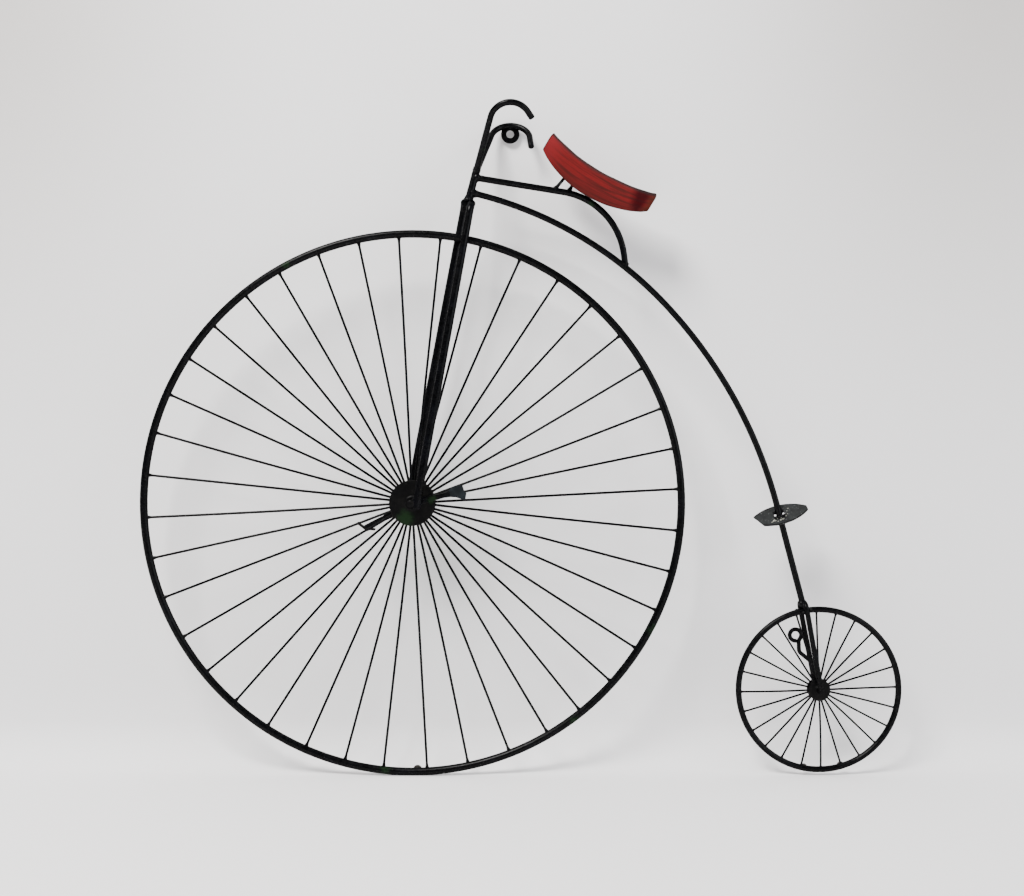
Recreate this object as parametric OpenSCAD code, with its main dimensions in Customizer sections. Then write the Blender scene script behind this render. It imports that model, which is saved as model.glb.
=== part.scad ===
// Wall-hung penny-farthing of welded steel rod. The wheels turn on plain axles between
// fork legs; everything else is one welded frame.
// X runs along the machine from the big front wheel to the small rear one, Z is up and
// Y runs from the open side towards the wall.

/* [Front wheel] */
// Radius of the front rim, to the middle of its bar
front_rim_r = 296; // [246:1:356]
// Diameter of the bar that the front rim is bent from
front_rim_bar_d = 8; // [6:0.5:9.6]
// Number of spokes in the front wheel
front_spoke_count = 40; // [24:2:48]
// Diameter of a front spoke
front_spoke_d = 2.4; // [2:0.1:2.8]
// Diameter of the two front hub discs
front_disc_d = 50; // [40:1:60]
// Thickness of a front hub disc
front_disc_t = 2.5; // [2:0.5:3]
// Distance between the inner faces of the front hub discs
front_disc_gap = 14; // [11:0.5:17]
// Diameter of the front axle
front_axle_d = 8; // [6.5:0.5:9.5]
// Wall of the front hub barrel
front_barrel_wall = 2.9; // [2:0.1:4]

/* [Rear wheel] */
// Radius of the rear rim, to the middle of its bar
rear_rim_r = 88; // [73:1:106]
// Diameter of the bar that the rear rim is bent from
rear_rim_bar_d = 6; // [5:0.5:7.5]
// Number of spokes in the rear wheel
rear_spoke_count = 24; // [16:2:28]
// Diameter of a rear spoke
rear_spoke_d = 1.7; // [1.4:0.1:2]
// Diameter of the two rear hub discs
rear_disc_d = 24; // [20:1:29]
// Thickness of a rear hub disc
rear_disc_t = 1.6; // [1.3:0.1:2]
// Distance between the inner faces of the rear hub discs
rear_disc_gap = 6; // [5:0.5:7.5]
// Diameter of the rear axle
rear_axle_d = 5; // [4:0.5:6]
// Wall of the rear hub barrel
rear_barrel_wall = 2; // [1.5:0.1:2.5]

/* [Frame] */
// Space between the two wheels, measured level
wheels_gap = 56; // [40:1:68]
// Height of the rear wheel above the level of the front one, as the machine hangs
rear_lift = 3.5; // [0:0.5:8]
// Distance from the front rim up to the fork's crown
crown_over_rim = 40; // [30:1:48]
// Backward lean of the front fork
fork_lean = 10.5; // [6:0.5:14]
// Diameter of a front fork leg
fork_leg_d = 7.9; // [6.6:0.1:9.4]
// Diameter of the head rod
head_d = 8; // [6.5:0.5:9.5]
// Length of the head rod above the crown
head_len = 36; // [32:1:44]
// Backward lean of the head rod
head_lean = 15; // [10:1:20]
// Diameter of the backbone rod
backbone_d = 6.4; // [5.4:0.1:7.6]
// Straight length at the backbone's lower end
backbone_tail = 110; // [90:1:132]
// Diameter of the seat rod
seat_rod_d = 6.5; // [5.5:0.1:7.6]
// Bend radius of the seat rod
seat_rod_bend = 80; // [64:1:84]
// Diameter of a rear fork leg
rear_leg_d = 5.2; // [4.4:0.1:6.2]
// Forward lean of the rear fork
rear_lean = 10.5; // [7:0.5:14]

/* [Handlebar] */
// Diameter of a handlebar rod
bar_d = 6.2; // [5.2:0.1:7.4]
// Rise of a handlebar, along its own splayed plane
bar_rise = 76; // [64:1:91]
// Outward splay of each handlebar
bar_splay = 36; // [28:1:42]
// Backward lean of each handlebar's straight part
bar_lean = 15; // [10:1:20]
// Bend radius of a handlebar
bar_bend = 22; // [18:1:26]
// Downward curl of the open-side handlebar past its top
near_curl = 57; // [45:1:70]
// Downward curl of the wall-side handlebar past its top
far_curl = 85; // [70:1:90]
// Straight end of the open-side handlebar
near_tail = 9; // [8:1:16]
// Straight end of the wall-side handlebar
far_tail = 16; // [8:1:18]

/* [Saddle] */
// Length of the saddle along its chord
saddle_len = 133; // [111:1:160]
// Width of the saddle
saddle_w = 36; // [30:1:43]
// Thickness of the saddle's sheet
saddle_t = 1.6; // [1.3:0.1:2.2]
// Depth of the dip in the saddle's top line
saddle_dip = 9.7; // [8:0.1:11.6]
// Depth of a saddle side at its ends
saddle_end_depth = 22; // [19:1:26]
// Depth of a saddle side at its middle
saddle_mid_depth = 31; // [28:1:37]
// Downward slope of the saddle's chord towards the rear
saddle_slope = 30.4; // [25:0.1:36]
// Roll of the saddle towards the open side
saddle_roll = 12; // [0:1:14]
// Diameter of a saddle strut
strut_d = 3; // [2.5:0.1:3.6]

/* [Step, cranks and pedals] */
// Length of the step plate
step_len = 60; // [50:1:72]
// Width of the step plate
step_w = 27; // [23:1:32]
// Thickness of the step plate
step_t = 2; // [1.6:0.1:2.4]
// Tilt of the step plate towards the open side
step_tilt = 45; // [30:1:55]
// Clearance round the backbone in the step plate's hole
step_hole_gap = 2.6; // [2:0.1:3.2]
// Length of a crank, from the axle to the middle of its pedal
crank_len = 52; // [43:1:62]
// Width of a crank strip
crank_w = 7; // [6:0.5:8]
// Thickness of a crank strip
crank_t = 2; // [1.6:0.1:2.4]
// Length of a pedal plate, across its crank
pedal_len = 18; // [15:0.5:21.5]
// How far each pedal stands out from its hub disc
pedal_depth = 7.6; // [6.4:0.1:9.2]
// Thickness of a pedal plate
pedal_t = 1.5; // [1.2:0.1:1.8]

/* [Hanging] */
// Outer diameter of the hanging washer
washer_d = 21; // [18:0.5:25]
// Hole of the hanging washer
washer_hole_d = 9; // [7.5:0.1:10.5]
// Thickness of the hanging washer
washer_t = 2; // [1.6:0.1:2.5]
// Wire diameter of the lower hanger
wire_d = 3.7; // [2.9:0.1:4.2]
// Outer diameter of the lower hanger's eye
eye_d = 15.6; // [13:0.1:16.8]
// Diameter of the front wheel's bumper
front_bumper_d = 10; // [8:0.5:12]
// Diameter of each rear wheel bumper
rear_bumper_d = 8; // [6.5:0.5:9.5]
// Thickness of a bumper
bumper_t = 3; // [2:0.1:3.6]

/* [Hidden] */
$fn = 48;

near = -1;
far = 1;
// Radial clearance of each hub barrel on its axle, and the play at each barrel end
axle_run = 0.08;
hub_play = 1;
// How far a welded piece is sunk into its neighbour
weld_sink = 1;
// Side clearance of a turning rim and its bumpers in a fork
fork_side_gap = 1.2;
// Clearance over the rear rim, below its fork's crown
crown_gap = 6;
// Side clearance of the pedals from a fork leg's foot: the legs close in above it
pedal_side_gap = 3.2;

front_rim_outer = front_rim_r + front_rim_bar_d / 2;
rear_rim_outer = rear_rim_r + rear_rim_bar_d / 2;
overall_len = 2 * front_rim_outer + wheels_gap + 2 * rear_rim_outer;
front_hub = [front_rim_outer - overall_len / 2, front_rim_outer];
rear_hub = [overall_len / 2 - rear_rim_outer, rear_rim_outer + rear_lift];

// Points and headings in the X-Z plane: a heading of 0 points along +X, 90 points up
function along(p, heading, len) = p + len * [cos(heading), sin(heading)];
function side(turn) = turn < 0 ? -1 : 1;
function left_of(heading) = [-sin(heading), cos(heading)];
function after_arc(p, heading, r, turn) =
    p + side(turn) * r * (left_of(heading) - left_of(heading + turn));

// The front fork's axis and the head rod's axis
fork_len = front_rim_outer + crown_over_rim;
fork_heading = 90 - fork_lean;
head_heading = 90 - head_lean;
crown = along(front_hub, fork_heading, fork_len);
head_top = along(crown, head_heading, head_len);
function on_head(t) = along(crown, head_heading, t);

// The legs stand either side of the fork's axis, seen square on, closest at the crown
crank_y = front_disc_gap / 2 + front_disc_t;
fork_leg_y = crank_y + pedal_depth + pedal_side_gap + fork_leg_d / 2;
leg_foot_offset = fork_leg_d * 0.76;
leg_crown_offset = fork_leg_d / 2 + 0.1;
leg_close = atan((leg_foot_offset - leg_crown_offset) / fork_len);
leg_crown_y = front_rim_bar_d / 2 + bumper_t + fork_side_gap + fork_leg_d / 2;
leg_bend = leg_crown_y;
leg_straight = fork_len - leg_bend - fork_leg_d / 2;
leg_slant = atan((fork_leg_y - leg_crown_y) / leg_straight);
leg_turn = 88 - leg_slant;
front_axle_half = fork_leg_y + fork_leg_d / 2 + 0.8;
front_barrel_d = front_axle_d + 2 * front_barrel_wall;
front_barrel_half = fork_leg_y - fork_leg_d / 2 - hub_play;

// The rear fork, whose legs also stand either side of its axis
rear_heading = 90 + rear_lean;
rear_crown_reach = rear_rim_outer + crown_gap;
rear_crown = along(rear_hub, rear_heading, rear_crown_reach);
rear_leg_crown_y = rear_rim_bar_d / 2 + bumper_t + fork_side_gap + rear_leg_d / 2;
rear_leg_y = rear_leg_crown_y + 1.6;
rear_leg_bend = 7;
rear_leg_offset = rear_leg_d * 0.06;
rear_leg_crown_offset = rear_leg_d * 0.27;
rear_leg_close = atan((rear_leg_offset - rear_leg_crown_offset) / rear_crown_reach);
rear_leg_straight = rear_crown_reach - rear_leg_bend;
rear_leg_slant = atan((rear_leg_y - rear_leg_crown_y) / rear_leg_straight);
rear_leg_turn = 80;
rear_axle_half = rear_leg_y + rear_leg_d / 2 + 0.8;
rear_barrel_d = rear_axle_d + 2 * rear_barrel_wall;
rear_barrel_half = rear_leg_y - rear_leg_d / 2 - hub_play;

// The backbone is two arcs that meet smoothly, and a straight tail
backbone_start = on_head(7.5);
backbone_start_heading = -13;
backbone_end_heading = -75.3;
tail_start = along(rear_crown, backbone_end_heading, -backbone_tail);
t0 = [cos(backbone_start_heading), sin(backbone_start_heading)];
t1 = [cos(backbone_end_heading), sin(backbone_end_heading)];
span = tail_start - backbone_start;
pull = span * (t0 + t1);
bend_share = 2 * (1 - t0 * t1);
reach = (sqrt(pull * pull + bend_share * (span * span)) - pull) / bend_share;
meet = (backbone_start + reach * t0 + tail_start - reach * t1) / 2;
meet_heading_1 = atan2(meet[1] - backbone_start[1], meet[0] - backbone_start[0]);
backbone_turn_1 = 2 * (meet_heading_1 - backbone_start_heading);
backbone_turn_2 = backbone_end_heading - backbone_start_heading - backbone_turn_1;
backbone_r_1 = norm(meet - backbone_start) / (2 * sin(abs(backbone_turn_1) / 2));
backbone_r_2 = norm(tail_start - meet) / (2 * sin(abs(backbone_turn_2) / 2));

// The seat rod leaves the head rod, runs nearly straight and turns down to the backbone
seat_rod_start = on_head(24.5);
seat_rod_heading = -9.2;
seat_rod_end_heading = -83;
seat_weld_turn = backbone_turn_1 * 0.757;
seat_rod_end = after_arc(backbone_start, backbone_start_heading, backbone_r_1, seat_weld_turn);
seat_run = seat_rod_end - seat_rod_start;
seat_turn = seat_rod_end_heading - seat_rod_heading;
seat_rod_second = (seat_run[1] * cos(seat_rod_heading) - seat_run[0] * sin(seat_rod_heading))
    / sin(seat_turn);
seat_rod_first = seat_run * [cos(seat_rod_heading), sin(seat_rod_heading)]
    - seat_rod_second * cos(seat_turn);
seat_tangent = seat_rod_bend * tan(abs(seat_turn) / 2);
seat_rod_straight_1 = seat_rod_first - seat_tangent;
seat_rod_straight_2 = seat_rod_second - seat_tangent;

// Handlebars: the straight part ends where the bend begins
bar_root = on_head(head_len - 3);
bar_root_y = 3.2;
bar_straight = (bar_rise - bar_bend * (1 - sin(bar_lean))) / cos(bar_lean);
bar_top_y = bar_root_y + bar_rise * sin(bar_splay);
bar_top = bar_root + [bar_straight * sin(bar_lean) + bar_bend * cos(bar_lean),
    bar_rise * cos(bar_splay)];

// The hanging washer is flush with the wall side of the wall-side handlebar
washer_back_y = bar_top_y + bar_d / 2;
washer_centre = bar_top - [0.3, washer_d / 2 - 1.2];

// Saddle
saddle_chord_mid = on_head(24.5) + [144.4, 15.5];
saddle_top_r = (pow(saddle_len / 2, 2) + pow(saddle_dip, 2)) / (2 * saddle_dip);
saddle_rise = saddle_top_r - saddle_dip;
saddle_under_sag = saddle_dip + saddle_mid_depth - saddle_end_depth;
saddle_under_r = (pow(saddle_len / 2, 2) + pow(saddle_under_sag, 2)) / (2 * saddle_under_sag);
saddle_skirt = saddle_mid_depth + 2;
saddle_sweep = 2 * asin(saddle_len / 2 / saddle_top_r) + 8;
function on_seat_rod(t) = along(seat_rod_start, seat_rod_heading, t);
strut_feet = [on_seat_rod(88.5), on_seat_rod(104.3)];
// A point under the saddle's top line, at a distance along its chord
function under_saddle(a) = saddle_chord_mid
    + a * [cos(saddle_slope), -sin(saddle_slope)]
    + (saddle_rise - sqrt(pow(saddle_top_r, 2) - a * a) - saddle_t / 2)
    * [sin(saddle_slope), cos(saddle_slope)];

// Step plate
step_at = along(rear_crown, backbone_end_heading, -100);
step_hole_d = backbone_d + 2 * step_hole_gap;
step_side_r = (pow(step_len / 2 + 6, 2) + pow(step_w / 2, 2)) / step_w;

// Cranks and pedals stand on the hub discs, inside the fork legs
near_crank_angle = 14;
far_crank_angle = 208.7;
far_crank_len = crank_len + 4;
crank_root_r = front_barrel_d / 2 + 1.5;
near_pedal_reach = 9;
far_pedal_headings = [146, -66];

// Spokes and bumpers
front_spoke_phase = 3.07;
rear_spoke_phase = 1.77;
front_spoke_root_r = front_disc_d / 2 - 10;
rear_spoke_root_r = rear_disc_d / 2 - 5;
front_bumper_angle = -89;
rear_bumper_angles = [-100, -73.3];

// Places a drawing made in X-Y so that its Y stands up and its Z points to the open side
module upright() {
    rotate([90, 0, 0]) children();
}

// A bent rod's stations, each a point and a heading: a move is a straight length, then a
// bend radius and a turn, which is to the left where it is positive
function bend_steps(r, turn) = max(1, ceil(abs(turn) / (r > 100 ? 2.5 : 8)));
function move_stations(p, heading, len, r, turn) = concat(
    len > 0 ? [[along(p, heading, len), heading]] : [],
    turn == 0 ? [] : [for (k = [1:bend_steps(r, turn)]) let (t = turn * k / bend_steps(r, turn))
        [after_arc(along(p, heading, len), heading, r, t), heading + t]]);
function rod_stations(p, heading, moves, i = 0) = i == len(moves) ? [] :
    let (made = move_stations(p, heading, moves[i][0], moves[i][1], moves[i][2]),
        last = made[len(made) - 1])
    concat(made, rod_stations(last[0], last[1], moves, i + 1));
function ring(station, r, sides) = [for (k = [0:sides - 1]) let (a = 360 * k / sides)
    [each station[0] + r * cos(a) * left_of(station[1]), r * sin(a)]];

// A rod bent like wire in the X-Y plane, one ring of corners at each station
module bent_rod(d, p, heading, moves, sides = 20) {
    stations = concat([[p, heading]], rod_stations(p, heading, moves));
    last = (len(stations) - 1) * sides;
    polyhedron(
        points = [for (s = stations) each ring(s, d / 2, sides)],
        faces = concat(
            [[for (k = [0:sides - 1]) k], [for (k = [sides - 1:-1:0]) last + k]],
            [for (j = [0:sides:last - 1], k = [0:sides - 1]) let (n = (k + 1) % sides)
                [j + k, j + sides + k, j + sides + n, j + n]]));
}

// A straight rod in the X-Y plane
module rod_straight(d, p, heading, len) {
    translate(p) rotate([0, 0, heading]) rotate([0, 90, 0]) cylinder(d = d, h = len);
}

// A rod between two points in space
module rod_between(d, a, b) {
    run = b - a;
    translate(a) rotate([0, acos(run[2] / norm(run)), atan2(run[1], run[0])])
        cylinder(d = d, h = norm(run));
}

module at_xz(p, y = 0) {
    translate([p[0], y, p[1]]) children();
}

module head_rod() {
    color("#1c1d20") upright() rod_straight(head_d, crown, head_heading, head_len);
}

module backbone() {
    color("#1c1d20") upright() bent_rod(backbone_d, backbone_start, backbone_start_heading,
        [[0, backbone_r_1, backbone_turn_1], [0, backbone_r_2, backbone_turn_2],
            [backbone_tail, 0, 0]]);
}

module seat_rod() {
    color("#1c1d20") upright() bent_rod(seat_rod_d, seat_rod_start, seat_rod_heading,
        [[seat_rod_straight_1, seat_rod_bend, seat_turn], [seat_rod_straight_2, 0, 0]]);
}

module handlebar(hand, curl, tail) {
    color("#1c1d20") at_xz(bar_root, hand * bar_root_y) rotate([-hand * bar_splay, 0, 0])
        upright() bent_rod(bar_d, [0, 0], 90 - bar_lean,
            [[bar_straight, bar_bend, bar_lean - 90 - curl], [tail, 0, 0]]);
}

module hanging_washer() {
    color("#1c1d20") at_xz(washer_centre, washer_back_y) rotate([90, 0, 0]) difference() {
        cylinder(d = washer_d, h = washer_t);
        translate([0, 0, -1]) cylinder(d = washer_hole_d, h = washer_t + 2);
    }
}

// A fork leg rises from beside its axle, closing in, and bends over onto the fork's axis
module leg(d, hub, heading, hand, shift, close, foot_y, straight, slant, bend, turn) {
    at_xz(hub) rotate([0, 90 - heading, 0]) translate([shift, 0, 0])
        rotate([0, hand * close, 0]) rotate([90, 0, 90])
        bent_rod(d, [hand * foot_y, -d / 2], 90 + hand * slant,
            [[(straight + d / 2) / cos(slant), bend, hand * turn]]);
}

module fork_leg(hand) {
    color("#1c1d20") leg(fork_leg_d, front_hub, fork_heading, hand, -hand * leg_foot_offset,
        leg_close, fork_leg_y, leg_straight, leg_slant, leg_bend, leg_turn);
}

module rear_fork_leg(hand) {
    color("#1c1d20") leg(rear_leg_d, rear_hub, rear_heading, hand, -hand * rear_leg_offset,
        rear_leg_close, rear_leg_y, rear_leg_straight, rear_leg_slant, rear_leg_bend, rear_leg_turn);
}

module axle(d, hub, half) {
    color("#303236") at_xz(hub, half) rotate([90, 0, 0]) cylinder(d = d, h = 2 * half);
}

// Section of the saddle: an arch with straight skirts, opening away from the bend's centre
module saddle_arch(half_w) {
    translate([saddle_top_r + saddle_w / 2, 0]) {
        circle(r = half_w);
        translate([0, -half_w]) square([saddle_skirt, 2 * half_w]);
    }
}

module saddle() {
    color("#a8282c") at_xz(saddle_chord_mid) rotate([0, saddle_slope, 0])
        rotate([saddle_roll, 0, 0]) upright() intersection() {
            translate([0, saddle_rise]) rotate([0, 0, -90 - saddle_sweep / 2])
                rotate_extrude(angle = saddle_sweep) difference() {
                    saddle_arch(saddle_w / 2);
                    saddle_arch(saddle_w / 2 - saddle_t);
                }
            translate([0, 0, -saddle_w]) linear_extrude(2 * saddle_w) intersection() {
                translate([0, saddle_under_r - saddle_under_sag - saddle_end_depth])
                    circle(r = saddle_under_r, $fn = 96);
                translate([-saddle_len / 2, -saddle_len])
                    square([saddle_len, 2 * saddle_len]);
            }
        }
}

module saddle_strut(foot, top_a) {
    top = under_saddle(top_a);
    color("#1c1d20") rod_between(strut_d, [foot[0], 0, foot[1]], [top[0], 0, top[1]]);
}

// Outline of the step plate: a blunt leaf with its front end cut off aslant
module step_outline() {
    difference() {
        intersection() {
            translate([0, step_side_r - step_w / 2]) circle(r = step_side_r, $fn = 96);
            translate([0, step_w / 2 - step_side_r]) circle(r = step_side_r, $fn = 96);
            circle(d = step_len + 4, $fn = 96);
        }
        translate([-step_len / 2 + 5, 0]) rotate([0, 0, 26])
            translate([-step_len, -step_w]) square([step_len, 2 * step_w]);
        circle(d = step_hole_d);
    }
}

// A piece on the step, drawn with X along the plate and Z square to it
module on_step() {
    at_xz(step_at) rotate([0, -90 - backbone_end_heading, 0]) rotate([step_tilt, 0, 0])
        children();
}

module step_plate() {
    color("#6c706c") on_step() translate([0, 0, -step_t / 2]) linear_extrude(step_t)
        step_outline();
}

// The lower hanger: an eye bent from wire, with a cranked tail to the wall-side leg
module wire_hanger() {
    eye_r = (eye_d - wire_d) / 2;
    color("#1c1d20") at_xz(along(rear_hub, rear_heading, 31) - [2, 0], rear_leg_crown_y)
        upright()
        bent_rod(wire_d, [0, 0], 141, [[12.5, 5, -49], [9, eye_r, -40], [0, eye_r, 312]], 16);
}

module weld_bead(p, y, d) {
    at_xz(p, y) sphere(d = d, $fn = 20);
}

module frame_welds() {
    color("#26272a") {
        for (i = [0:3]) weld_bead(on_head(-1.5 + 1.2 * i), (i % 2 == 0 ? near : far) * 2, head_d + 1);
        weld_bead(along(backbone_start, backbone_start_heading, 3), 0, backbone_d + 2.4);
        weld_bead(along(seat_rod_start, seat_rod_heading, 3), 0, seat_rod_d + 1.8);
        weld_bead(seat_rod_end, 0, seat_rod_d + 2);
        weld_bead(rear_crown, 0, backbone_d + 1.6);
        for (hand = [near, far]) {
            weld_bead(bar_root, hand * bar_root_y, bar_d + 1.4);
            weld_bead(front_hub + [-hand * 2, 1], hand * fork_leg_y, fork_leg_d + 0.8);
            weld_bead(rear_hub + [0, 1.5], hand * rear_leg_y, rear_leg_d + 0.8);
            on_step() translate([0, hand * (backbone_d + step_hole_gap) / 2, 0])
                sphere(d = step_hole_gap + 2.2, $fn = 20);
            weld_bead(bar_top + [hand * 2.6, -3], washer_back_y - washer_t, 3.6);
        }
        for (foot = strut_feet) weld_bead(foot + [0.5, seat_rod_d / 2], 0, strut_d + 2.2);
    }
}

module rim(hub, r, bar_d) {
    color("#17181a") at_xz(hub) rotate([90, 0, 0])
        rotate_extrude() translate([r, 0]) circle(d = bar_d);
}

// Spokes run from the inner faces of the two discs, turn about, to the middle of the rim
module spokes(hub, count, phase, d, root_r, tip_r, root_y) {
    color("#17181a") at_xz(hub) for (i = [0:count - 1])
        rotate([0, -phase - i * 360 / count, 0])
            rod_between(d, [root_r, (i % 2 == 0 ? near : far) * root_y, 0], [tip_r, 0, 0]);
}

module hub_barrel(hub, d, bore_d, half) {
    color("#26272a") at_xz(hub, half) rotate([90, 0, 0]) difference() {
        cylinder(d = d, h = 2 * half);
        translate([0, 0, -1]) cylinder(d = bore_d, h = 2 * half + 2);
    }
}

module hub_disc(hub, hand, d, t, gap, hole_d) {
    color("#1c1d20") at_xz(hub, hand * (gap / 2 + t / 2) + t / 2) rotate([90, 0, 0])
        difference() {
            cylinder(d = d, h = t);
            translate([0, 0, -1]) cylinder(d = hole_d, h = t + 2);
        }
}

// A piece on the front hub, drawn with X along its crank
module on_crank(angle) {
    at_xz(front_hub) rotate([0, -angle, 0]) children();
}

// A crank tapers from its root on the disc, and the near one flares again at its pedal
module crank(hand, angle, length, flare) {
    tip = length + 4;
    color("#1c1d20") on_crank(angle) translate([0, hand * crank_y + (hand + 1) * crank_t / 2, 0])
        rotate([90, 0, 0]) linear_extrude(crank_t) polygon([
            [crank_root_r, -crank_w * 0.6], [tip * 0.62, -crank_w * 0.4], [tip, -flare / 2],
            [tip, flare / 2], [tip * 0.62, crank_w * 0.4], [crank_root_r, crank_w * 0.6]]);
}

// The open-side pedal is a fishtail that leans outwards, with a flatter lip
module pedal_near() {
    lip = pedal_depth - pedal_t;
    color("#2a3033") on_crank(near_crank_angle) translate([crank_len, -crank_y, 0])
        intersection() {
            translate([0, 0, -pedal_len]) linear_extrude(2 * pedal_len) polygon([
                [-near_pedal_reach, -crank_t / 2], [2, -lip * 0.8], [near_pedal_reach, -lip],
                [near_pedal_reach, -pedal_depth], [2, -lip * 0.8 - pedal_t],
                [-near_pedal_reach, -crank_t / 2 - pedal_t]]);
            rotate([90, 0, 0]) linear_extrude(2 * pedal_depth) polygon([
                [-near_pedal_reach, -pedal_len * 0.22], [-3.6, -pedal_len * 0.3],
                [5.6, -pedal_len * 0.63], [near_pedal_reach, -pedal_len * 0.2],
                [7.2, -pedal_len * 0.08], [6.6, pedal_len * 0.36], [-5, pedal_len * 0.38],
                [-7, pedal_len * 0.28], [-near_pedal_reach, pedal_len * 0.24]]);
        }
}

// The wall-side pedal is a strip folded across its middle, edge-on to the wheel
module pedal_far() {
    color("#2a2b2a") on_crank(far_crank_angle)
        translate([far_crank_len + 5, crank_y + pedal_depth, 0]) {
            rotate([90, 0, 0]) cylinder(d = pedal_t, h = pedal_depth);
            for (a = far_pedal_headings) rotate([0, -a, 0])
                translate([0, -pedal_depth, -pedal_t / 2])
                    cube([pedal_len * 0.6, pedal_depth, pedal_t]);
        }
}

module bumper(hub, r, angle, d, bar_d) {
    color("#6a5238") at_xz(along(hub, angle, r), bar_d / 2 + bumper_t) rotate([90, 0, 0])
        cylinder(d = d, h = bumper_t + weld_sink);
}

head_rod();
backbone();
seat_rod();
handlebar(near, near_curl, near_tail);  // handlebar_near
handlebar(far, far_curl, far_tail);  // handlebar_far
hanging_washer();
fork_leg(near);  // fork_leg_near
fork_leg(far);  // fork_leg_far
axle(front_axle_d, front_hub, front_axle_half);  // front_axle
saddle();
saddle_strut(strut_feet[0], -26.5);  // saddle_strut_front
saddle_strut(strut_feet[1], -20.5);  // saddle_strut_rear
step_plate();
rear_fork_leg(near);  // rear_fork_leg_near
rear_fork_leg(far);  // rear_fork_leg_far
axle(rear_axle_d, rear_hub, rear_axle_half);  // rear_axle
wire_hanger();
frame_welds();
rim(front_hub, front_rim_r, front_rim_bar_d);  // front_rim
spokes(front_hub, front_spoke_count, front_spoke_phase, front_spoke_d, front_spoke_root_r,  // front_spokes
        front_rim_r - front_rim_bar_d / 2 + weld_sink, front_disc_gap / 2 - front_spoke_d / 2);
hub_barrel(front_hub, front_barrel_d, front_axle_d + 2 * axle_run, front_barrel_half);  // front_hub_barrel
hub_disc(front_hub, near, front_disc_d, front_disc_t, front_disc_gap, front_barrel_d);  // front_disc_near
hub_disc(front_hub, far, front_disc_d, front_disc_t, front_disc_gap, front_barrel_d);  // front_disc_far
crank(near, near_crank_angle, crank_len, crank_w * 1.6);  // crank_near
crank(far, far_crank_angle, far_crank_len, crank_w);  // crank_far
pedal_near();
pedal_far();
bumper(front_hub, front_rim_r - 1, front_bumper_angle, front_bumper_d, front_rim_bar_d);  // front_bumper
rim(rear_hub, rear_rim_r, rear_rim_bar_d);  // rear_rim
spokes(rear_hub, rear_spoke_count, rear_spoke_phase, rear_spoke_d, rear_spoke_root_r,  // rear_spokes
        rear_rim_r - rear_rim_bar_d / 2 + weld_sink, rear_disc_gap / 2 - rear_spoke_d / 2);
hub_barrel(rear_hub, rear_barrel_d, rear_axle_d + 2 * axle_run, rear_barrel_half);  // rear_hub_barrel
hub_disc(rear_hub, near, rear_disc_d, rear_disc_t, rear_disc_gap, rear_barrel_d);  // rear_disc_near
hub_disc(rear_hub, far, rear_disc_d, rear_disc_t, rear_disc_gap, rear_barrel_d);  // rear_disc_far
for (angle = rear_bumper_angles)  // rear_bumpers
        bumper(rear_hub, rear_rim_r, angle, rear_bumper_d, rear_rim_bar_d);
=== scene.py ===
"""Looks of a wall-hung penny-farthing welded from steel rod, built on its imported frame.

The rods, rims and wires are swept along their middle lines, the spokes and weld beads are
set out by node trees, and the cut plates are worn copies of the frame's own solids. Every
piece stands in the frame's place, in metres: +X to the small wheel, +Y to the wall, +Z up.
"""

import logging
import math
from dataclasses import dataclass, field
from enum import Enum
from typing import Any, Iterable, Sequence

import bmesh
import bpy
from mathutils import Matrix, Vector


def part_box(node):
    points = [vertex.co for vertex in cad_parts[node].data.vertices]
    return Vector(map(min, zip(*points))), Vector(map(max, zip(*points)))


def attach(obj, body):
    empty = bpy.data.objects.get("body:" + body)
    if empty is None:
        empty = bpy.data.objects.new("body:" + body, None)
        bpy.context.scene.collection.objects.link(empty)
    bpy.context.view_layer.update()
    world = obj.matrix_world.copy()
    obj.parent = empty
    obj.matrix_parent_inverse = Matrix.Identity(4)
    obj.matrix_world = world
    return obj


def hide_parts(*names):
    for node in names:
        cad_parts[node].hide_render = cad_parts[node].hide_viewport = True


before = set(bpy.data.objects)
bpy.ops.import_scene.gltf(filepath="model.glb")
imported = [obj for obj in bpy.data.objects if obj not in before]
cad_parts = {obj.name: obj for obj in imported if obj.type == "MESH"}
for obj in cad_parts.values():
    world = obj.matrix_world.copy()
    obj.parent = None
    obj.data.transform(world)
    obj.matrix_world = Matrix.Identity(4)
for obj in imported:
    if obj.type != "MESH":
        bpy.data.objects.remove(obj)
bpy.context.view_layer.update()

LOG = logging.getLogger("penny_farthing")
# Sizes are in millimetres and angles in degrees, but for SHARP_ANGLE, which is in radians.
MM = 0.001
PAINT_FILM = 0.28
SPOKE_FILM = PAINT_FILM * 0.75
RUNNING_FIT = 0.08
STEP_TILT = 45.0
REAR_BUMPER_ANGLES = (-100.0, -73.3)
SHARP_ANGLE = 0.7
UPRIGHT = Matrix.Rotation(math.radians(90), 4, "X")
ACROSS = Matrix.Rotation(math.radians(90), 4, "Z") @ UPRIGHT


class Side(Enum):
    """Which side of the wheels' plane a piece is on: its sign along Y."""

    NEAR = -1
    FAR = 1


class Body(Enum):
    """The frame's moving bodies."""

    FRAME = "frame"
    FRONT = "front_wheel"
    REAR = "rear_wheel"


class Slot(Enum):
    """The record's material slots."""

    BLACK = "black_paint"
    RED = "red_enamel"
    GREY = "grey_steel"
    RUBBER = "rubber"


# ---------------------------------------------------------------- node trees


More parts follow.
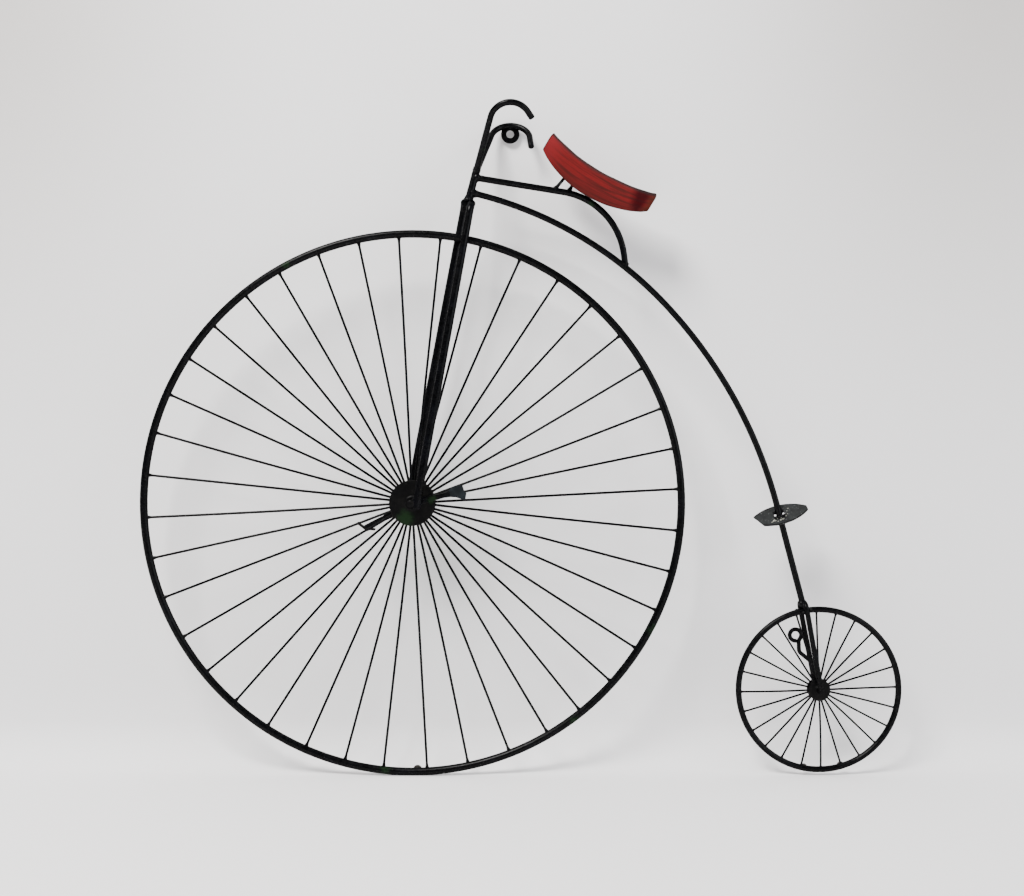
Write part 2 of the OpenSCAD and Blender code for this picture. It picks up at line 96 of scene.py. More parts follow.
class Graph:
    """Adds nodes to a shader or geometry tree and joins them."""

    def __init__(self, tree: bpy.types.NodeTree) -> None:
        """Works on one tree.

        Args:
            tree: the shader or geometry node tree to add to.
        """
        self.tree = tree

    def add(self, kind: str, feeds: dict[Any, Any] | None = None, **settings: Any) -> bpy.types.Node:
        """Adds one node.

        Args:
            kind: the node's type name.
            feeds: what each input takes, by name or number: a socket to join or a value.
            settings: the node's own properties.

        Returns:
            The new node.
        """
        node = self.tree.nodes.new(kind)
        for key, value in settings.items():
            setattr(node, key, value)
        for key, value in (feeds or {}).items():
            self.feed(node.inputs[key], value)
        return node

    def feed(self, socket: bpy.types.NodeSocket, value: Any) -> None:
        """Joins a socket, or a node's first output, or sets a plain value.

        Args:
            socket: the input.
            value: a socket or a node to join, or a plain value.
        """
        if isinstance(value, bpy.types.Node):
            value = value.outputs[0]
        if isinstance(value, bpy.types.NodeSocket):
            self.tree.links.new(value, socket)
        else:
            socket.default_value = value

    def math(self, operation: str, a: Any, b: Any = 0.0, clamp: bool = False) -> bpy.types.NodeSocket:
        """One sum of two numbers, as a socket."""
        return self.add("ShaderNodeMath", {0: a, 1: b}, operation=operation, use_clamp=clamp).outputs[0]

    def times(self, a: Any, b: Any) -> bpy.types.NodeSocket:
        """One number times another, as a socket."""
        return self.math("MULTIPLY", a, b)

    def plus(self, a: Any, b: Any) -> bpy.types.NodeSocket:
        """One number plus another, as a socket."""
        return self.math("ADD", a, b)

    def minus(self, a: Any, b: Any) -> bpy.types.NodeSocket:
        """One number less another, as a socket."""
        return self.math("SUBTRACT", a, b)

    def vector(self, operation: str, a: Any, b: Any = (0.0, 0.0, 0.0)) -> bpy.types.NodeSocket:
        """One sum of two vectors, as a socket."""
        node = self.add("ShaderNodeVectorMath", {0: a, 1: b}, operation=operation)
        return node.outputs["Value" if operation in ("LENGTH", "DISTANCE", "DOT_PRODUCT") else "Vector"]

    def scaled(self, vector: Any, factor: Any) -> bpy.types.NodeSocket:
        """A vector times a number, as a socket."""
        return self.add("ShaderNodeVectorMath", {0: vector, "Scale": factor}, operation="SCALE").outputs[0]

    def blend(self, factor: Any, a: Any, b: Any) -> bpy.types.NodeSocket:
        """Two colours mixed by a factor, as a socket."""
        node = self.add("ShaderNodeMix", {0: factor, 6: a, 7: b}, data_type="RGBA")
        return node.outputs[2]

    def spread(
        self, value: Any, low: Any, high: Any, to_low: float = 0.0, to_high: float = 1.0
    ) -> bpy.types.NodeSocket:
        """A number eased from one range to another, as a socket."""
        feeds = {"Value": value, "From Min": low, "From Max": high, "To Min": to_low, "To Max": to_high}
        return self.add("ShaderNodeMapRange", feeds, interpolation_type="SMOOTHSTEP").outputs[0]

    def noise(
        self, vector: Any, scale: Any, detail: float = 3.0, seed: Any = 0.0, rough: float = 0.5
    ) -> bpy.types.NodeSocket:
        """Seeded noise over a place, as a socket."""
        feeds = {"Vector": vector, "W": seed, "Scale": scale, "Detail": detail, "Roughness": rough}
        return self.add("ShaderNodeTexNoise", feeds, noise_dimensions="4D").outputs[0]


def new_tree(
    name: str, kind: str, **inputs: Any
) -> tuple[bpy.types.NodeTree, Graph, bpy.types.bpy_prop_collection, bpy.types.Node]:
    """Starts a node group with named inputs and one output.

    Args:
        name: the group's name.
        kind: Shader or Geometry.
        **inputs: each input's default, or its kind of socket where it has none.

    Returns:
        The tree, its graph, what its input node gives and its output node.
    """
    tree = bpy.data.node_groups.new(name, f"{kind}NodeTree")
    for label, default in inputs.items():
        socket = default
        if not isinstance(default, str):
            socket = "Int" if isinstance(default, int) else "Float"
        made = tree.interface.new_socket(
            label.replace("_", " "), in_out="INPUT", socket_type=f"NodeSocket{socket}"
        )
        if not isinstance(default, str):
            made.default_value = default
    result = "Geometry" if kind == "Geometry" else "Float"
    tree.interface.new_socket("Result", in_out="OUTPUT", socket_type=f"NodeSocket{result}")
    graph = Graph(tree)
    return tree, graph, graph.add("NodeGroupInput").outputs, graph.add("NodeGroupOutput")


class GeometryTrees:
    """The geometry node trees, each built once when it is first asked for."""

    def __init__(self) -> None:
        """Starts with no trees."""
        self._made: dict[str, bpy.types.NodeTree] = {}

    def get(self, name: str) -> bpy.types.NodeTree:
        """The tree of that name, such as rod, dents, beads or spokes.

        Args:
            name: the tree's short name.

        Returns:
            The tree.
        """
        if name not in self._made:
            self._made[name] = getattr(self, f"_{name}")()
        return self._made[name]

    def _finish(self, graph: Graph, mesh: Any, given: Any, out: bpy.types.Node) -> None:
        """Ends a tree: faces smooth, corners sharp, instances real, material set.

        Args:
            graph: the tree's graph.
            mesh: what the tree has made.
            given: the tree's inputs.
            out: the tree's output node.
        """
        angle = graph.add("GeometryNodeInputMeshEdgeAngle")
        limits = {0: angle.outputs[0], 1: SHARP_ANGLE}
        sharp = graph.add("FunctionNodeCompare", limits, operation="GREATER_THAN")
        real = graph.add("GeometryNodeRealizeInstances", {"Geometry": mesh})
        feeds = {"Geometry": real, "Shade Smooth": True}
        smooth = graph.add("GeometryNodeSetShadeSmooth", feeds, domain="FACE")
        feeds = {"Geometry": smooth, "Selection": sharp, "Shade Smooth": False}
        crisp = graph.add("GeometryNodeSetShadeSmooth", feeds, domain="EDGE")
        dressed = graph.add("GeometryNodeSetMaterial", {"Geometry": crisp, "Material": given["Material"]})
        graph.feed(out.inputs[0], dressed)

    def _dented(self, graph: Graph, mesh: Any, depth: Any, size: Any, seed: Any) -> bpy.types.Node:
        """Moves a mesh's points in and out along their normals by seeded noise.

        Args:
            graph: the tree's graph.
            mesh: the mesh.
            depth: how deep the dents are.
            size: how wide they are.
            seed: the noise's seed.

        Returns:
            The node that moves them.
        """
        place = graph.add("GeometryNodeInputPosition").outputs[0]
        normal = graph.add("GeometryNodeInputNormal").outputs[0]
        wave = graph.noise(graph.scaled(place, graph.math("DIVIDE", 1.0, size)), 1.0, 2.0, seed)
        push = graph.times(graph.minus(wave, 0.5), graph.times(depth, 2.0))
        return graph.add("GeometryNodeSetPosition", {"Geometry": mesh, "Offset": graph.scaled(normal, push)})

    def _rod(self) -> bpy.types.NodeTree:
        """A round rod along a line of points whose thickness attribute may vary.

        Returns:
            The tree.
        """
        tree, graph, given, out = new_tree(
            "rod_along_line", "Geometry", Geometry="Geometry", Radius=0.003, Sides=24, Dent_Depth=0.0,
            Dent_Size=0.01, Seed=0.0, Material="Material"
        )
        line = graph.add("GeometryNodeMeshToCurve", {0: given["Geometry"]})
        ring = {"Resolution": given["Sides"], "Radius": given["Radius"]}
        profile = graph.add("GeometryNodeCurvePrimitiveCircle", ring)
        thickness = graph.add("GeometryNodeInputNamedAttribute", {"Name": "thickness"}, data_type="FLOAT")
        swept = graph.add(
            "GeometryNodeCurveToMesh",
            {"Curve": line, "Profile Curve": profile, "Scale": thickness, "Fill Caps": True},
        )
        dented = self._dented(graph, swept, given["Dent Depth"], given["Dent Size"], given["Seed"])
        self._finish(graph, dented, given, out)
        return tree

    def _dents(self) -> bpy.types.NodeTree:
        """Dents any closed mesh and evens it out.

        Returns:
            The tree.
        """
        tree, graph, given, out = new_tree(
            "hand_worked_surface", "Geometry", Geometry="Geometry", Smoothing=4, Dent_Depth=0.0,
            Dent_Size=0.01, Seed=0.0, Material="Material"
        )
        place = graph.add("GeometryNodeInputPosition")
        blurred = graph.add(
            "GeometryNodeBlurAttribute",
            {"Value": place, "Iterations": given["Smoothing"]},
            data_type="FLOAT_VECTOR",
        )
        eased = graph.add("GeometryNodeSetPosition", {"Geometry": given["Geometry"], "Position": blurred})
        dented = self._dented(graph, eased, given["Dent Depth"], given["Dent Size"], given["Seed"])
        self._finish(graph, dented, given, out)
        return tree

    def _beads(self) -> bpy.types.NodeTree:
        """Overlapping weld drops of uneven size along lines of points.

        Returns:
            The tree.
        """
        tree, graph, given, out = new_tree(
            "weld_drops_along_line", "Geometry", Geometry="Geometry", Drop_Radius=0.0012, Pitch=0.0013,
            Seed=0, Material="Material"
        )
        line = graph.add("GeometryNodeMeshToCurve", {0: given["Geometry"]})
        drops = graph.add(
            "GeometryNodeCurveToPoints", {"Curve": line, "Length": given["Pitch"]}, mode="LENGTH"
        )
        size = graph.add("GeometryNodeInputNamedAttribute", {"Name": "thickness"}, data_type="FLOAT")
        uneven = graph.add("FunctionNodeRandomValue", {2: 0.72, 3: 1.25, "Seed": given["Seed"]})
        jitter = graph.add(
            "FunctionNodeRandomValue",
            {0: (-0.00035, -0.00035, -0.00035), 1: (0.00035, 0.00035, 0.00035), "Seed": given["Seed"]},
            data_type="FLOAT_VECTOR",
        )
        moved = graph.add("GeometryNodeSetPosition", {"Geometry": drops.outputs["Points"], "Offset": jitter})
        ball = graph.add("GeometryNodeMeshIcoSphere", {"Radius": given["Drop Radius"], "Subdivisions": 3})
        placed = graph.add(
            "GeometryNodeInstanceOnPoints",
            {
                "Points": moved,
                "Instance": ball.outputs["Mesh"],
                "Rotation": drops.outputs["Rotation"],
                "Scale": graph.times(uneven.outputs[1], size.outputs[0]),
            },
        )
        self._finish(graph, placed, given, out)
        return tree

    def _spokes(self) -> bpy.types.NodeTree:
        """Straight spokes round a wheel, fixed turn about to two discs, thicker at their welds.

        Returns:
            The tree.
        """
        tree, graph, given, out = new_tree(
            "spokes_round_wheel", "Geometry", Geometry="Geometry", Count=40, Phase=0.0,
            Wire_Radius=0.001, Root_Radius=0.02, Tip_Radius=0.29, Root_Offset=0.006, Flare_Length=0.004,
            Bow=0.0004, Seed=7, Material="Material"
        )
        root, tip = given["Root Radius"], given["Tip Radius"]
        start = graph.add("ShaderNodeCombineXYZ", {"X": root})
        end = graph.add("ShaderNodeCombineXYZ", {"X": tip})
        line = graph.add("GeometryNodeCurvePrimitiveLine", {"Start": start, "End": end})
        fine = graph.add("GeometryNodeResampleCurve", {"Curve": line, "Count": 64}, mode="COUNT")
        along = graph.add("GeometryNodeSplineParameter").outputs["Length"]
        length = graph.minus(tip, root)
        flare = given["Flare Length"]
        swell_in = graph.math("DIVIDE", graph.minus(flare, along), flare, clamp=True)
        left = graph.minus(length, along)
        swell_out = graph.math("DIVIDE", graph.minus(flare, left), flare, clamp=True)
        ease_in = graph.times(graph.times(swell_in, swell_in), 1.1)
        ease_out = graph.times(graph.times(swell_out, swell_out), 0.7)
        swell = graph.plus(1.0, graph.plus(ease_in, ease_out))
        profile = graph.add(
            "GeometryNodeCurvePrimitiveCircle", {"Resolution": 10, "Radius": given["Wire Radius"]}
        )
        feeds = {"Curve": fine, "Profile Curve": profile, "Scale": swell, "Fill Caps": True}
        wire = graph.add("GeometryNodeCurveToMesh", feeds)
        points = graph.add("GeometryNodePoints", {"Count": given["Count"]})
        index = graph.add("GeometryNodeInputIndex").outputs[0]
        hand = graph.minus(graph.times(graph.math("MODULO", index, 2.0), 2.0), 1.0)
        bend = graph.add("FunctionNodeRandomValue", {2: -1.0, 3: 1.0, "Seed": given["Seed"]})
        marked = points
        for label, value in (("hand", hand), ("bend", bend.outputs[1])):
            feeds = {"Geometry": marked, "Name": label, "Value": value}
            kept = {"data_type": "FLOAT", "domain": "POINT"}
            marked = graph.add("GeometryNodeStoreNamedAttribute", feeds, **kept)
        step = graph.math("DIVIDE", 2 * math.pi, given["Count"])
        turn = graph.plus(graph.times(index, step), given["Phase"])
        wobble = graph.add(
            "FunctionNodeRandomValue", {2: -0.006, 3: 0.006, "Seed": graph.plus(given["Seed"], 1.0)}
        )
        spin = graph.add(
            "ShaderNodeCombineXYZ", {"Y": graph.times(graph.plus(turn, wobble.outputs[1]), -1.0)}
        )
        turned = graph.add("FunctionNodeEulerToRotation", {0: spin})
        feeds = {"Points": marked, "Instance": wire, "Rotation": turned}
        placed = graph.add("GeometryNodeInstanceOnPoints", feeds)
        real = graph.add("GeometryNodeRealizeInstances", {"Geometry": placed})
        place = graph.add("GeometryNodeInputPosition").outputs[0]
        flat = graph.vector("MULTIPLY", place, (1.0, 0.0, 1.0))
        reach = graph.vector("LENGTH", flat)
        share = graph.math("DIVIDE", graph.minus(tip, reach), length)
        hand_of = graph.add("GeometryNodeInputNamedAttribute", {"Name": "hand"}, data_type="FLOAT").outputs[0]
        bend_of = graph.add("GeometryNodeInputNamedAttribute", {"Name": "bend"}, data_type="FLOAT").outputs[0]
        slant = graph.times(graph.times(hand_of, share), given["Root Offset"])
        arch = graph.math("SINE", graph.times(share, math.pi))
        bow = graph.times(graph.times(arch, bend_of), given["Bow"])
        aside = graph.vector("CROSS_PRODUCT", graph.vector("NORMALIZE", flat), (0.0, 1.0, 0.0))
        shift = graph.add("ShaderNodeCombineXYZ", {"Y": slant})
        moved = graph.add(
            "GeometryNodeSetPosition",
            {"Geometry": real, "Offset": graph.vector("ADD", shift, graph.scaled(aside, bow))},
        )
        self._finish(graph, moved, given, out)
        return tree


TREES = GeometryTrees()


# ---------------------------------------------------------------- shader groups


class ShaderGroups:
    """The surface effects that several finishes share, each a node group built once."""

    def __init__(self) -> None:
        """Starts with no groups."""
        self._made: dict[str, bpy.types.NodeTree] = {}

    def place(self, graph: Graph, name: str, feeds: dict[str, Any]) -> bpy.types.NodeSocket:
        """Puts an effect in a material.

        Args:
            graph: the material's graph.
            name: the effect, such as mottle, spot or streaks.
            feeds: what its named inputs take.

        Returns:
            The effect's output socket.
        """
        if name not in self._made:
            self._made[name] = getattr(self, f"_{name}")()
        node = graph.add("ShaderNodeGroup", node_tree=self._made[name])
        for key, value in feeds.items():
            graph.feed(node.inputs[key], value)
        return node.outputs[0]

    def _mottle(self) -> bpy.types.NodeTree:
        """Uneven patches, from 0 to 1.

        Returns:
            The group.
        """
        tree, graph, given, out = new_tree(
            "mottle", "Shader", Vector="Vector", Scale=60.0, Low=0.35, High=0.65, Seed=0.0
        )
        wave = graph.noise(given["Vector"], given["Scale"], 5.0, given["Seed"], 0.6)
        graph.feed(out.inputs[0], graph.spread(wave, given["Low"], given["High"]))
        return tree

    def _spot(self) -> bpy.types.NodeTree:
        """One soft ragged spot about a centre.

        Returns:
            The group.
        """
        tree, graph, given, out = new_tree(
            "ragged_spot", "Shader", Vector="Vector", Centre="Vector", Radius=0.01, Ragged=0.6
        )
        gap = graph.vector("DISTANCE", given["Vector"], given["Centre"])
        share = graph.math("DIVIDE", gap, given["Radius"])
        wave = graph.noise(given["Vector"], 220.0, 4.0, 3.0, 0.6)
        ragged = graph.times(graph.minus(wave, 0.5), given["Ragged"])
        edge = graph.plus(share, graph.times(ragged, 2.0))
        graph.feed(out.inputs[0], graph.spread(edge, 0.35, 1.0, 1.0, 0.0))
        return tree

    def _skin(self) -> bpy.types.NodeTree:
        """Height of brushed paint over rough steel.

        Returns:
            The group.
        """
        tree, graph, given, out = new_tree(
            "painted_skin", "Shader", Vector="Vector", Scale=400.0, Coarse=0.6
        )
        fine = graph.noise(given["Vector"], graph.times(given["Scale"], 5.0), 3.0, 1.0)
        broad = graph.noise(given["Vector"], given["Scale"], 3.0, 2.0)
        both = graph.plus(fine, graph.times(broad, given["Coarse"]))
        graph.feed(out.inputs[0], both)
        return tree

    def _streaks(self) -> bpy.types.NodeTree:
        """Long streaks along U of a UV map, from 0 to 1.

        Returns:
            The group.
        """
        tree, graph, given, out = new_tree(
            "lengthwise_streaks", "Shader", Vector="Vector", Along=1.5, Across=16.0, Low=0.4, High=0.6,
            Seed=0.0
        )
        stretch = graph.add("ShaderNodeCombineXYZ", {"X": given["Along"], "Y": given["Across"]})
        wave = graph.noise(
            graph.vector("MULTIPLY", given["Vector"], stretch), 1.0, 4.0, given["Seed"], 0.55
        )
        graph.feed(out.inputs[0], graph.spread(wave, given["Low"], given["High"]))
        return tree


GROUPS = ShaderGroups()
Colour = tuple[float, float, float]
_MATERIALS: dict[str, bpy.types.Material] = {}


def rgba(colour: Colour) -> tuple[float, float, float, float]:
    """A colour with full cover."""
    return (*colour, 1.0)


def blank_material(name: str) -> tuple[bpy.types.Material, Graph]:
    """Starts a material with no nodes.

    Args:
        name: the material's name.

    Returns:
        The material and its graph.
    """
    made = bpy.data.materials.new(name)
    made.use_nodes = True
    made.node_tree.nodes.clear()
    return made, Graph(made.node_tree)


@dataclass(frozen=True)
class Finish:
    """What every finish shares: a name, and a material made once for that name."""

    name: str

    def material(self) -> bpy.types.Material:
        """The finish's material, made when it is first asked for.

        Returns:
            The material.
        """
        if self.name not in _MATERIALS:
            made, graph = blank_material(self.name)
            shader = graph.add("ShaderNodeBsdfPrincipled")
            graph.add("ShaderNodeOutputMaterial", {"Surface": shader})
            self.paint(graph, shader)
            _MATERIALS[self.name] = made
        return _MATERIALS[self.name]

    def paint(self, graph: Graph, shader: bpy.types.Node) -> None:
        """Feeds the shader; each finish has its own."""
        raise NotImplementedError

    def bump(self, graph: Graph, shader: bpy.types.Node, height: Any, strength: float, reach: float) -> None:
        """Gives the shader a bumpy normal.

        Args:
            graph: the material's graph.
            shader: the Principled shader.
            height: the height socket.
            strength: how strong the bump is, 0 to 1.
            reach: the height in metres that 1 stands for.
        """
        node = graph.add("ShaderNodeBump", {"Height": height, "Strength": strength, "Distance": reach})
        graph.feed(shader.inputs["Normal"], node)

    def mottle(
        self, graph: Graph, here: Any, scale: float, low: float, high: float, seed: float = 0.0
    ) -> bpy.types.NodeSocket:
        """A mask of uneven patches, as a socket."""
        feeds = {"Vector": here, "Scale": scale, "Low": low, "High": high, "Seed": seed}
        return GROUPS.place(graph, "mottle", feeds)

    def skin(self, graph: Graph, here: Any, scale: float, coarse: float) -> bpy.types.NodeSocket:
        """The height of brushed paint over rough steel, as a socket."""
        return GROUPS.place(graph, "skin", {"Vector": here, "Scale": scale, "Coarse": coarse})

    def plain(self, shader: bpy.types.Node, **levels: float) -> None:
        """Sets the shader's plain numbers, named with underscores for spaces."""
        for label, level in levels.items():
            shader.inputs[label.replace("_", " ")].default_value = level


@dataclass(frozen=True)
class BlackPaint(Finish):
    """Worn satin black over welded steel, with green showing at some spots."""

    deep: Colour = (0.0003, 0.0003, 0.0005)
    worn: Colour = (0.0016, 0.0017, 0.0026)
    green: Colour = (0.0035, 0.0115, 0.0035)
    brown: Colour = (0.0035, 0.0022, 0.0012)
    rough: tuple[float, float] = (0.20, 0.36)
    spots: tuple[tuple[Colour, float], ...] = ()
    coarse: float = 0.7
    gloss: float = 0.16

    def paint(self, graph: Graph, shader: bpy.types.Node) -> None:
        """Feeds the shader.

        Args:
            graph: the material's graph.
            shader: the Principled shader.
        """
        here = graph.add("ShaderNodeTexCoord").outputs["Object"]
        rub = self.mottle(graph, here, 55.0, 0.42, 0.72)
        colour = graph.blend(rub, rgba(self.deep), rgba(self.worn))
        rust = self.mottle(graph, here, 150.0, 0.66, 0.78, 4.0)
        colour = graph.blend(graph.times(rust, 0.5), colour, rgba(self.brown))
        for centre, radius in self.spots:
            feeds = {"Vector": here, "Centre": centre, "Radius": radius, "Ragged": 0.7}
            colour = graph.blend(GROUPS.place(graph, "spot", feeds), colour, rgba(self.green))
        graph.feed(shader.inputs["Base Color"], colour)
        sheen = self.mottle(graph, here, 240.0, 0.3, 0.7, 9.0)
        graph.feed(shader.inputs["Coat Roughness"], graph.spread(sheen, 0.0, 1.0, *self.rough))
        self.plain(shader, Roughness=0.6, Specular_IOR_Level=0.0, Coat_Weight=self.gloss)
        self.bump(graph, shader, self.skin(graph, here, 330.0, self.coarse), 0.2, 0.00035)


@dataclass(frozen=True)
class GreySteel(Finish):
    """Dull steel plate, darker in patches, and darker and browner towards its rim, where the darkening along
    the given arcs is painted shade.
    """

    face: Colour = (0.019, 0.0205, 0.0205)
    shade: Colour = (0.0095, 0.010, 0.0105)
    # rim: painted shade, a dark band just inside each given arc.
    rim: Colour = (0.0012, 0.0012, 0.0013)
    arcs: tuple[Colour, ...] = ()
    arc_reach: float = 0.0
    bright: float = 0.0

    def paint(self, graph: Graph, shader: bpy.types.Node) -> None:
        """Feeds the shader.

        Args:
            graph: the material's graph.
            shader: the Principled shader.
        """
        here = graph.add("ShaderNodeTexCoord").outputs["Object"]
        patch = self.mottle(graph, here, 90.0, 0.38, 0.66)
        colour = graph.blend(patch, rgba(self.shade), rgba(self.face))
        # Painted shade along the plate's curved edges: a dark band just inside each arc.
        for centre in self.arcs:
            away = graph.vector("DISTANCE", here, centre)
            edge = graph.spread(away, self.arc_reach - 1.7 * MM, self.arc_reach - 0.6 * MM)
            colour = graph.blend(graph.times(edge, 0.85), colour, rgba(self.rim))
        speck = self.mottle(graph, here, 600.0, 0.62, 0.7, 2.0)
        colour = graph.blend(graph.times(speck, self.bright), colour, (0.45, 0.46, 0.45, 1.0))
        graph.feed(shader.inputs["Base Color"], colour)
        graph.feed(shader.inputs["Roughness"], graph.spread(patch, 0.0, 1.0, 0.58, 0.42))
        self.plain(shader, Metallic=0.1, Specular_IOR_Level=0.08)
        self.bump(graph, shader, self.skin(graph, here, 450.0, 0.9), 0.6, 0.0003)


@dataclass(frozen=True)
class RedEnamel(Finish):
    """Translucent red over steel: lengthwise streaks, a pink front end, a dark rear band, and a painted shade
    line along the arch's crest.
    """

    body: Colour = (0.108, 0.0088, 0.0090)
    pink: Colour = (0.190, 0.0160, 0.0185)
    streak: Colour = (0.038, 0.0072, 0.0060)
    maroon: Colour = (0.020, 0.0008, 0.0018)
    olive: Colour = (0.028, 0.011, 0.0055)
    # edge: painted shade along the arch's crest, where the sheet turns away from the light, and dark lines
    # along the hems and the front end.
    edge: Colour = (0.010, 0.0035, 0.0035)

    def paint(self, graph: Graph, shader: bpy.types.Node) -> None:
        """Feeds the shader.

        Args:
            graph: the material's graph.
            shader: the Principled shader.
        """
        sheet = graph.add("ShaderNodeUVMap", uv_map="sheet").outputs[0]
        split = graph.add("ShaderNodeSeparateXYZ", {0: sheet})
        along, down = split.outputs["X"], split.outputs["Y"]
        fold = graph.times(graph.math("ABSOLUTE", graph.minus(down, 0.5)), 2.0)
        feeds = {"Vector": sheet, "Along": 2.2, "Across": 22.0, "Low": 0.42, "High": 0.66}
        broad = GROUPS.place(graph, "streaks", feeds)
        colour = graph.blend(graph.times(broad, 0.9), rgba(self.body), rgba(self.streak))
        fine_feeds = {"Vector": sheet, "Along": 5.0, "Across": 90.0, "Low": 0.5, "High": 0.7, "Seed": 5.0}
        fine = GROUPS.place(graph, "streaks", fine_feeds)
        colour = graph.blend(graph.times(fine, 0.35), colour, rgba(self.streak))
        low = graph.times(graph.spread(fold, 0.45, 0.95, 0.0, 0.6), graph.spread(along, 0.1, 0.3))
        colour = graph.blend(low, colour, rgba(self.streak))
        front = graph.spread(graph.plus(along, graph.times(down, 0.15)), 0.06, 0.34, 1.0, 0.0)
        colour = graph.blend(graph.times(front, 0.75), colour, rgba(self.pink))
        cloud = self.mottle(graph, sheet, 3.0, 0.2, 0.8)
        band_place = graph.plus(along, graph.times(graph.minus(cloud, 0.5), 0.03))
        starts = graph.spread(graph.minus(band_place, graph.times(fold, 0.11)), 0.745, 0.835)
        ends = graph.spread(graph.plus(band_place, graph.times(fold, 0.03)), 0.93, 0.99, 1.0, 0.25)
        band = graph.times(starts, ends)
        colour = graph.blend(graph.times(band, 0.92), colour, rgba(self.maroon))
        colour = graph.blend(graph.spread(band_place, 0.93, 0.99, 0.0, 0.6), colour, rgba(self.olive))
        # Painted shade: a dark line along the crest where the arch turns away. The same colour also darkens
        # the hems and the front end.
        crest = graph.times(graph.spread(down, 0.478, 0.505), graph.spread(down, 0.57, 0.62, 1.0, 0.0))
        hem = graph.math("MAXIMUM", graph.spread(fold, 0.956, 1.0), graph.spread(along, 0.0, 0.014, 1.0, 0.0))
        line = graph.times(graph.math("MAXIMUM", crest, hem), 0.86)
        colour = graph.blend(line, colour, rgba(self.edge))
        graph.feed(shader.inputs["Base Color"], colour)
        graph.feed(shader.inputs["Coat Roughness"], graph.spread(broad, 0.0, 1.0, 0.34, 0.46))
        self.plain(shader, Roughness=0.6, Specular_IOR_Level=0.0, Coat_Weight=0.14)
        height = graph.plus(graph.times(fine, 0.4), graph.times(cloud, 0.3))
        self.bump(graph, shader, height, 0.25, 0.0003)


@dataclass(frozen=True)
class RustyRed(Finish):
    """The saddle's cut edges and underside: red thinned to bare brown steel."""

    red: Colour = (0.045, 0.0075, 0.0055)
    steel: Colour = (0.012, 0.009, 0.007)

    def paint(self, graph: Graph, shader: bpy.types.Node) -> None:
        """Feeds the shader.

        Args:
            graph: the material's graph.
            shader: the Principled shader.
        """
        here = graph.add("ShaderNodeTexCoord").outputs["Object"]
        worn = self.mottle(graph, here, 120.0, 0.4, 0.6)
        graph.feed(shader.inputs["Base Color"], graph.blend(worn, rgba(self.red), rgba(self.steel)))
        graph.feed(shader.inputs["Roughness"], graph.spread(worn, 0.0, 1.0, 0.45, 0.65))
        self.plain(shader, Metallic=0.2)
        self.bump(graph, shader, self.skin(graph, here, 420.0, 0.8), 0.5, 0.0003)


@dataclass(frozen=True)
class Rubber(Finish):
    """Brown-black rubber with dust in its pores."""

    dark: Colour = (0.016, 0.013, 0.010)
    dusty: Colour = (0.070, 0.055, 0.038)

    def paint(self, graph: Graph, shader: bpy.types.Node) -> None:
        """Feeds the shader.

        Args:
            graph: the material's graph.
            shader: the Principled shader.
        """
        here = graph.add("ShaderNodeTexCoord").outputs["Object"]
        dust = self.mottle(graph, here, 260.0, 0.4, 0.75)
        graph.feed(shader.inputs["Base Color"], graph.blend(dust, rgba(self.dark), rgba(self.dusty)))
        graph.feed(shader.inputs["Roughness"], graph.spread(dust, 0.0, 1.0, 0.7, 0.9))
        self.bump(graph, shader, self.skin(graph, here, 900.0, 0.5), 0.5, 0.0002)


# ---------------------------------------------------------------- making meshes


@dataclass
class Line:
    """One middle line in metres, with a thickness factor at each point."""

    points: list[Vector]
    thickness: list[float]
    closed: bool = False


@dataclass
class WirePath:
    """A wire's middle line in its own plane, in millimetres, walked like a turtle's path."""

    x: float
    y: float
    heading: float
    points: list[tuple[float, float]] = field(default_factory=list)

    def __post_init__(self) -> None:
        """Starts the line at its first point."""
        self.points.append((self.x, self.y))

    def straight(self, length: float, pitch: float = 3.0) -> "WirePath":
        """Goes straight on.

        Args:
            length: how far, in millimetres.
            pitch: the longest gap between points.

        Returns:
            The path itself.
        """
        steps = max(1, math.ceil(length / pitch))
        heading = math.radians(self.heading)
        start = (self.x, self.y)
        for k in range(1, steps + 1):
            share = length * k / steps
            self.x = start[0] + share * math.cos(heading)
            self.y = start[1] + share * math.sin(heading)
            self.points.append((self.x, self.y))
        return self

    def bend(self, radius: float, turn: float, pitch: float = 2.2) -> "WirePath":
        """Turns along an arc, to the left where the turn is positive.

        Args:
            radius: the arc's radius, in millimetres.
            turn: the change of heading, in degrees.
            pitch: the longest gap between points.

        Returns:
            The path itself.
        """
        steps = max(4, math.ceil(radius * abs(math.radians(turn)) / pitch))
        sign = -1 if turn < 0 else 1
        heading = math.radians(self.heading)
        centre = (self.x - sign * radius * math.sin(heading), self.y + sign * radius * math.cos(heading))
        for k in range(1, steps + 1):
            angle = heading + math.radians(turn) * k / steps
            self.x = centre[0] + sign * radius * math.sin(angle)
            self.y = centre[1] - sign * radius * math.cos(angle)
            self.points.append((self.x, self.y))
        self.heading += turn
        return self

    def placed(self, place: Matrix, cut: float = 0.5) -> Line:
        """Puts the line in its place, with its ends' edges filed round.

        Args:
            place: the plane's place, in millimetres.
            cut: how far the filed edge reaches along the wire.

        Returns:
            The line, in metres.
        """
        points = [place @ Vector((x, y, 0.0)) * MM for x, y in self.points]
        return filed(points, cut * MM)


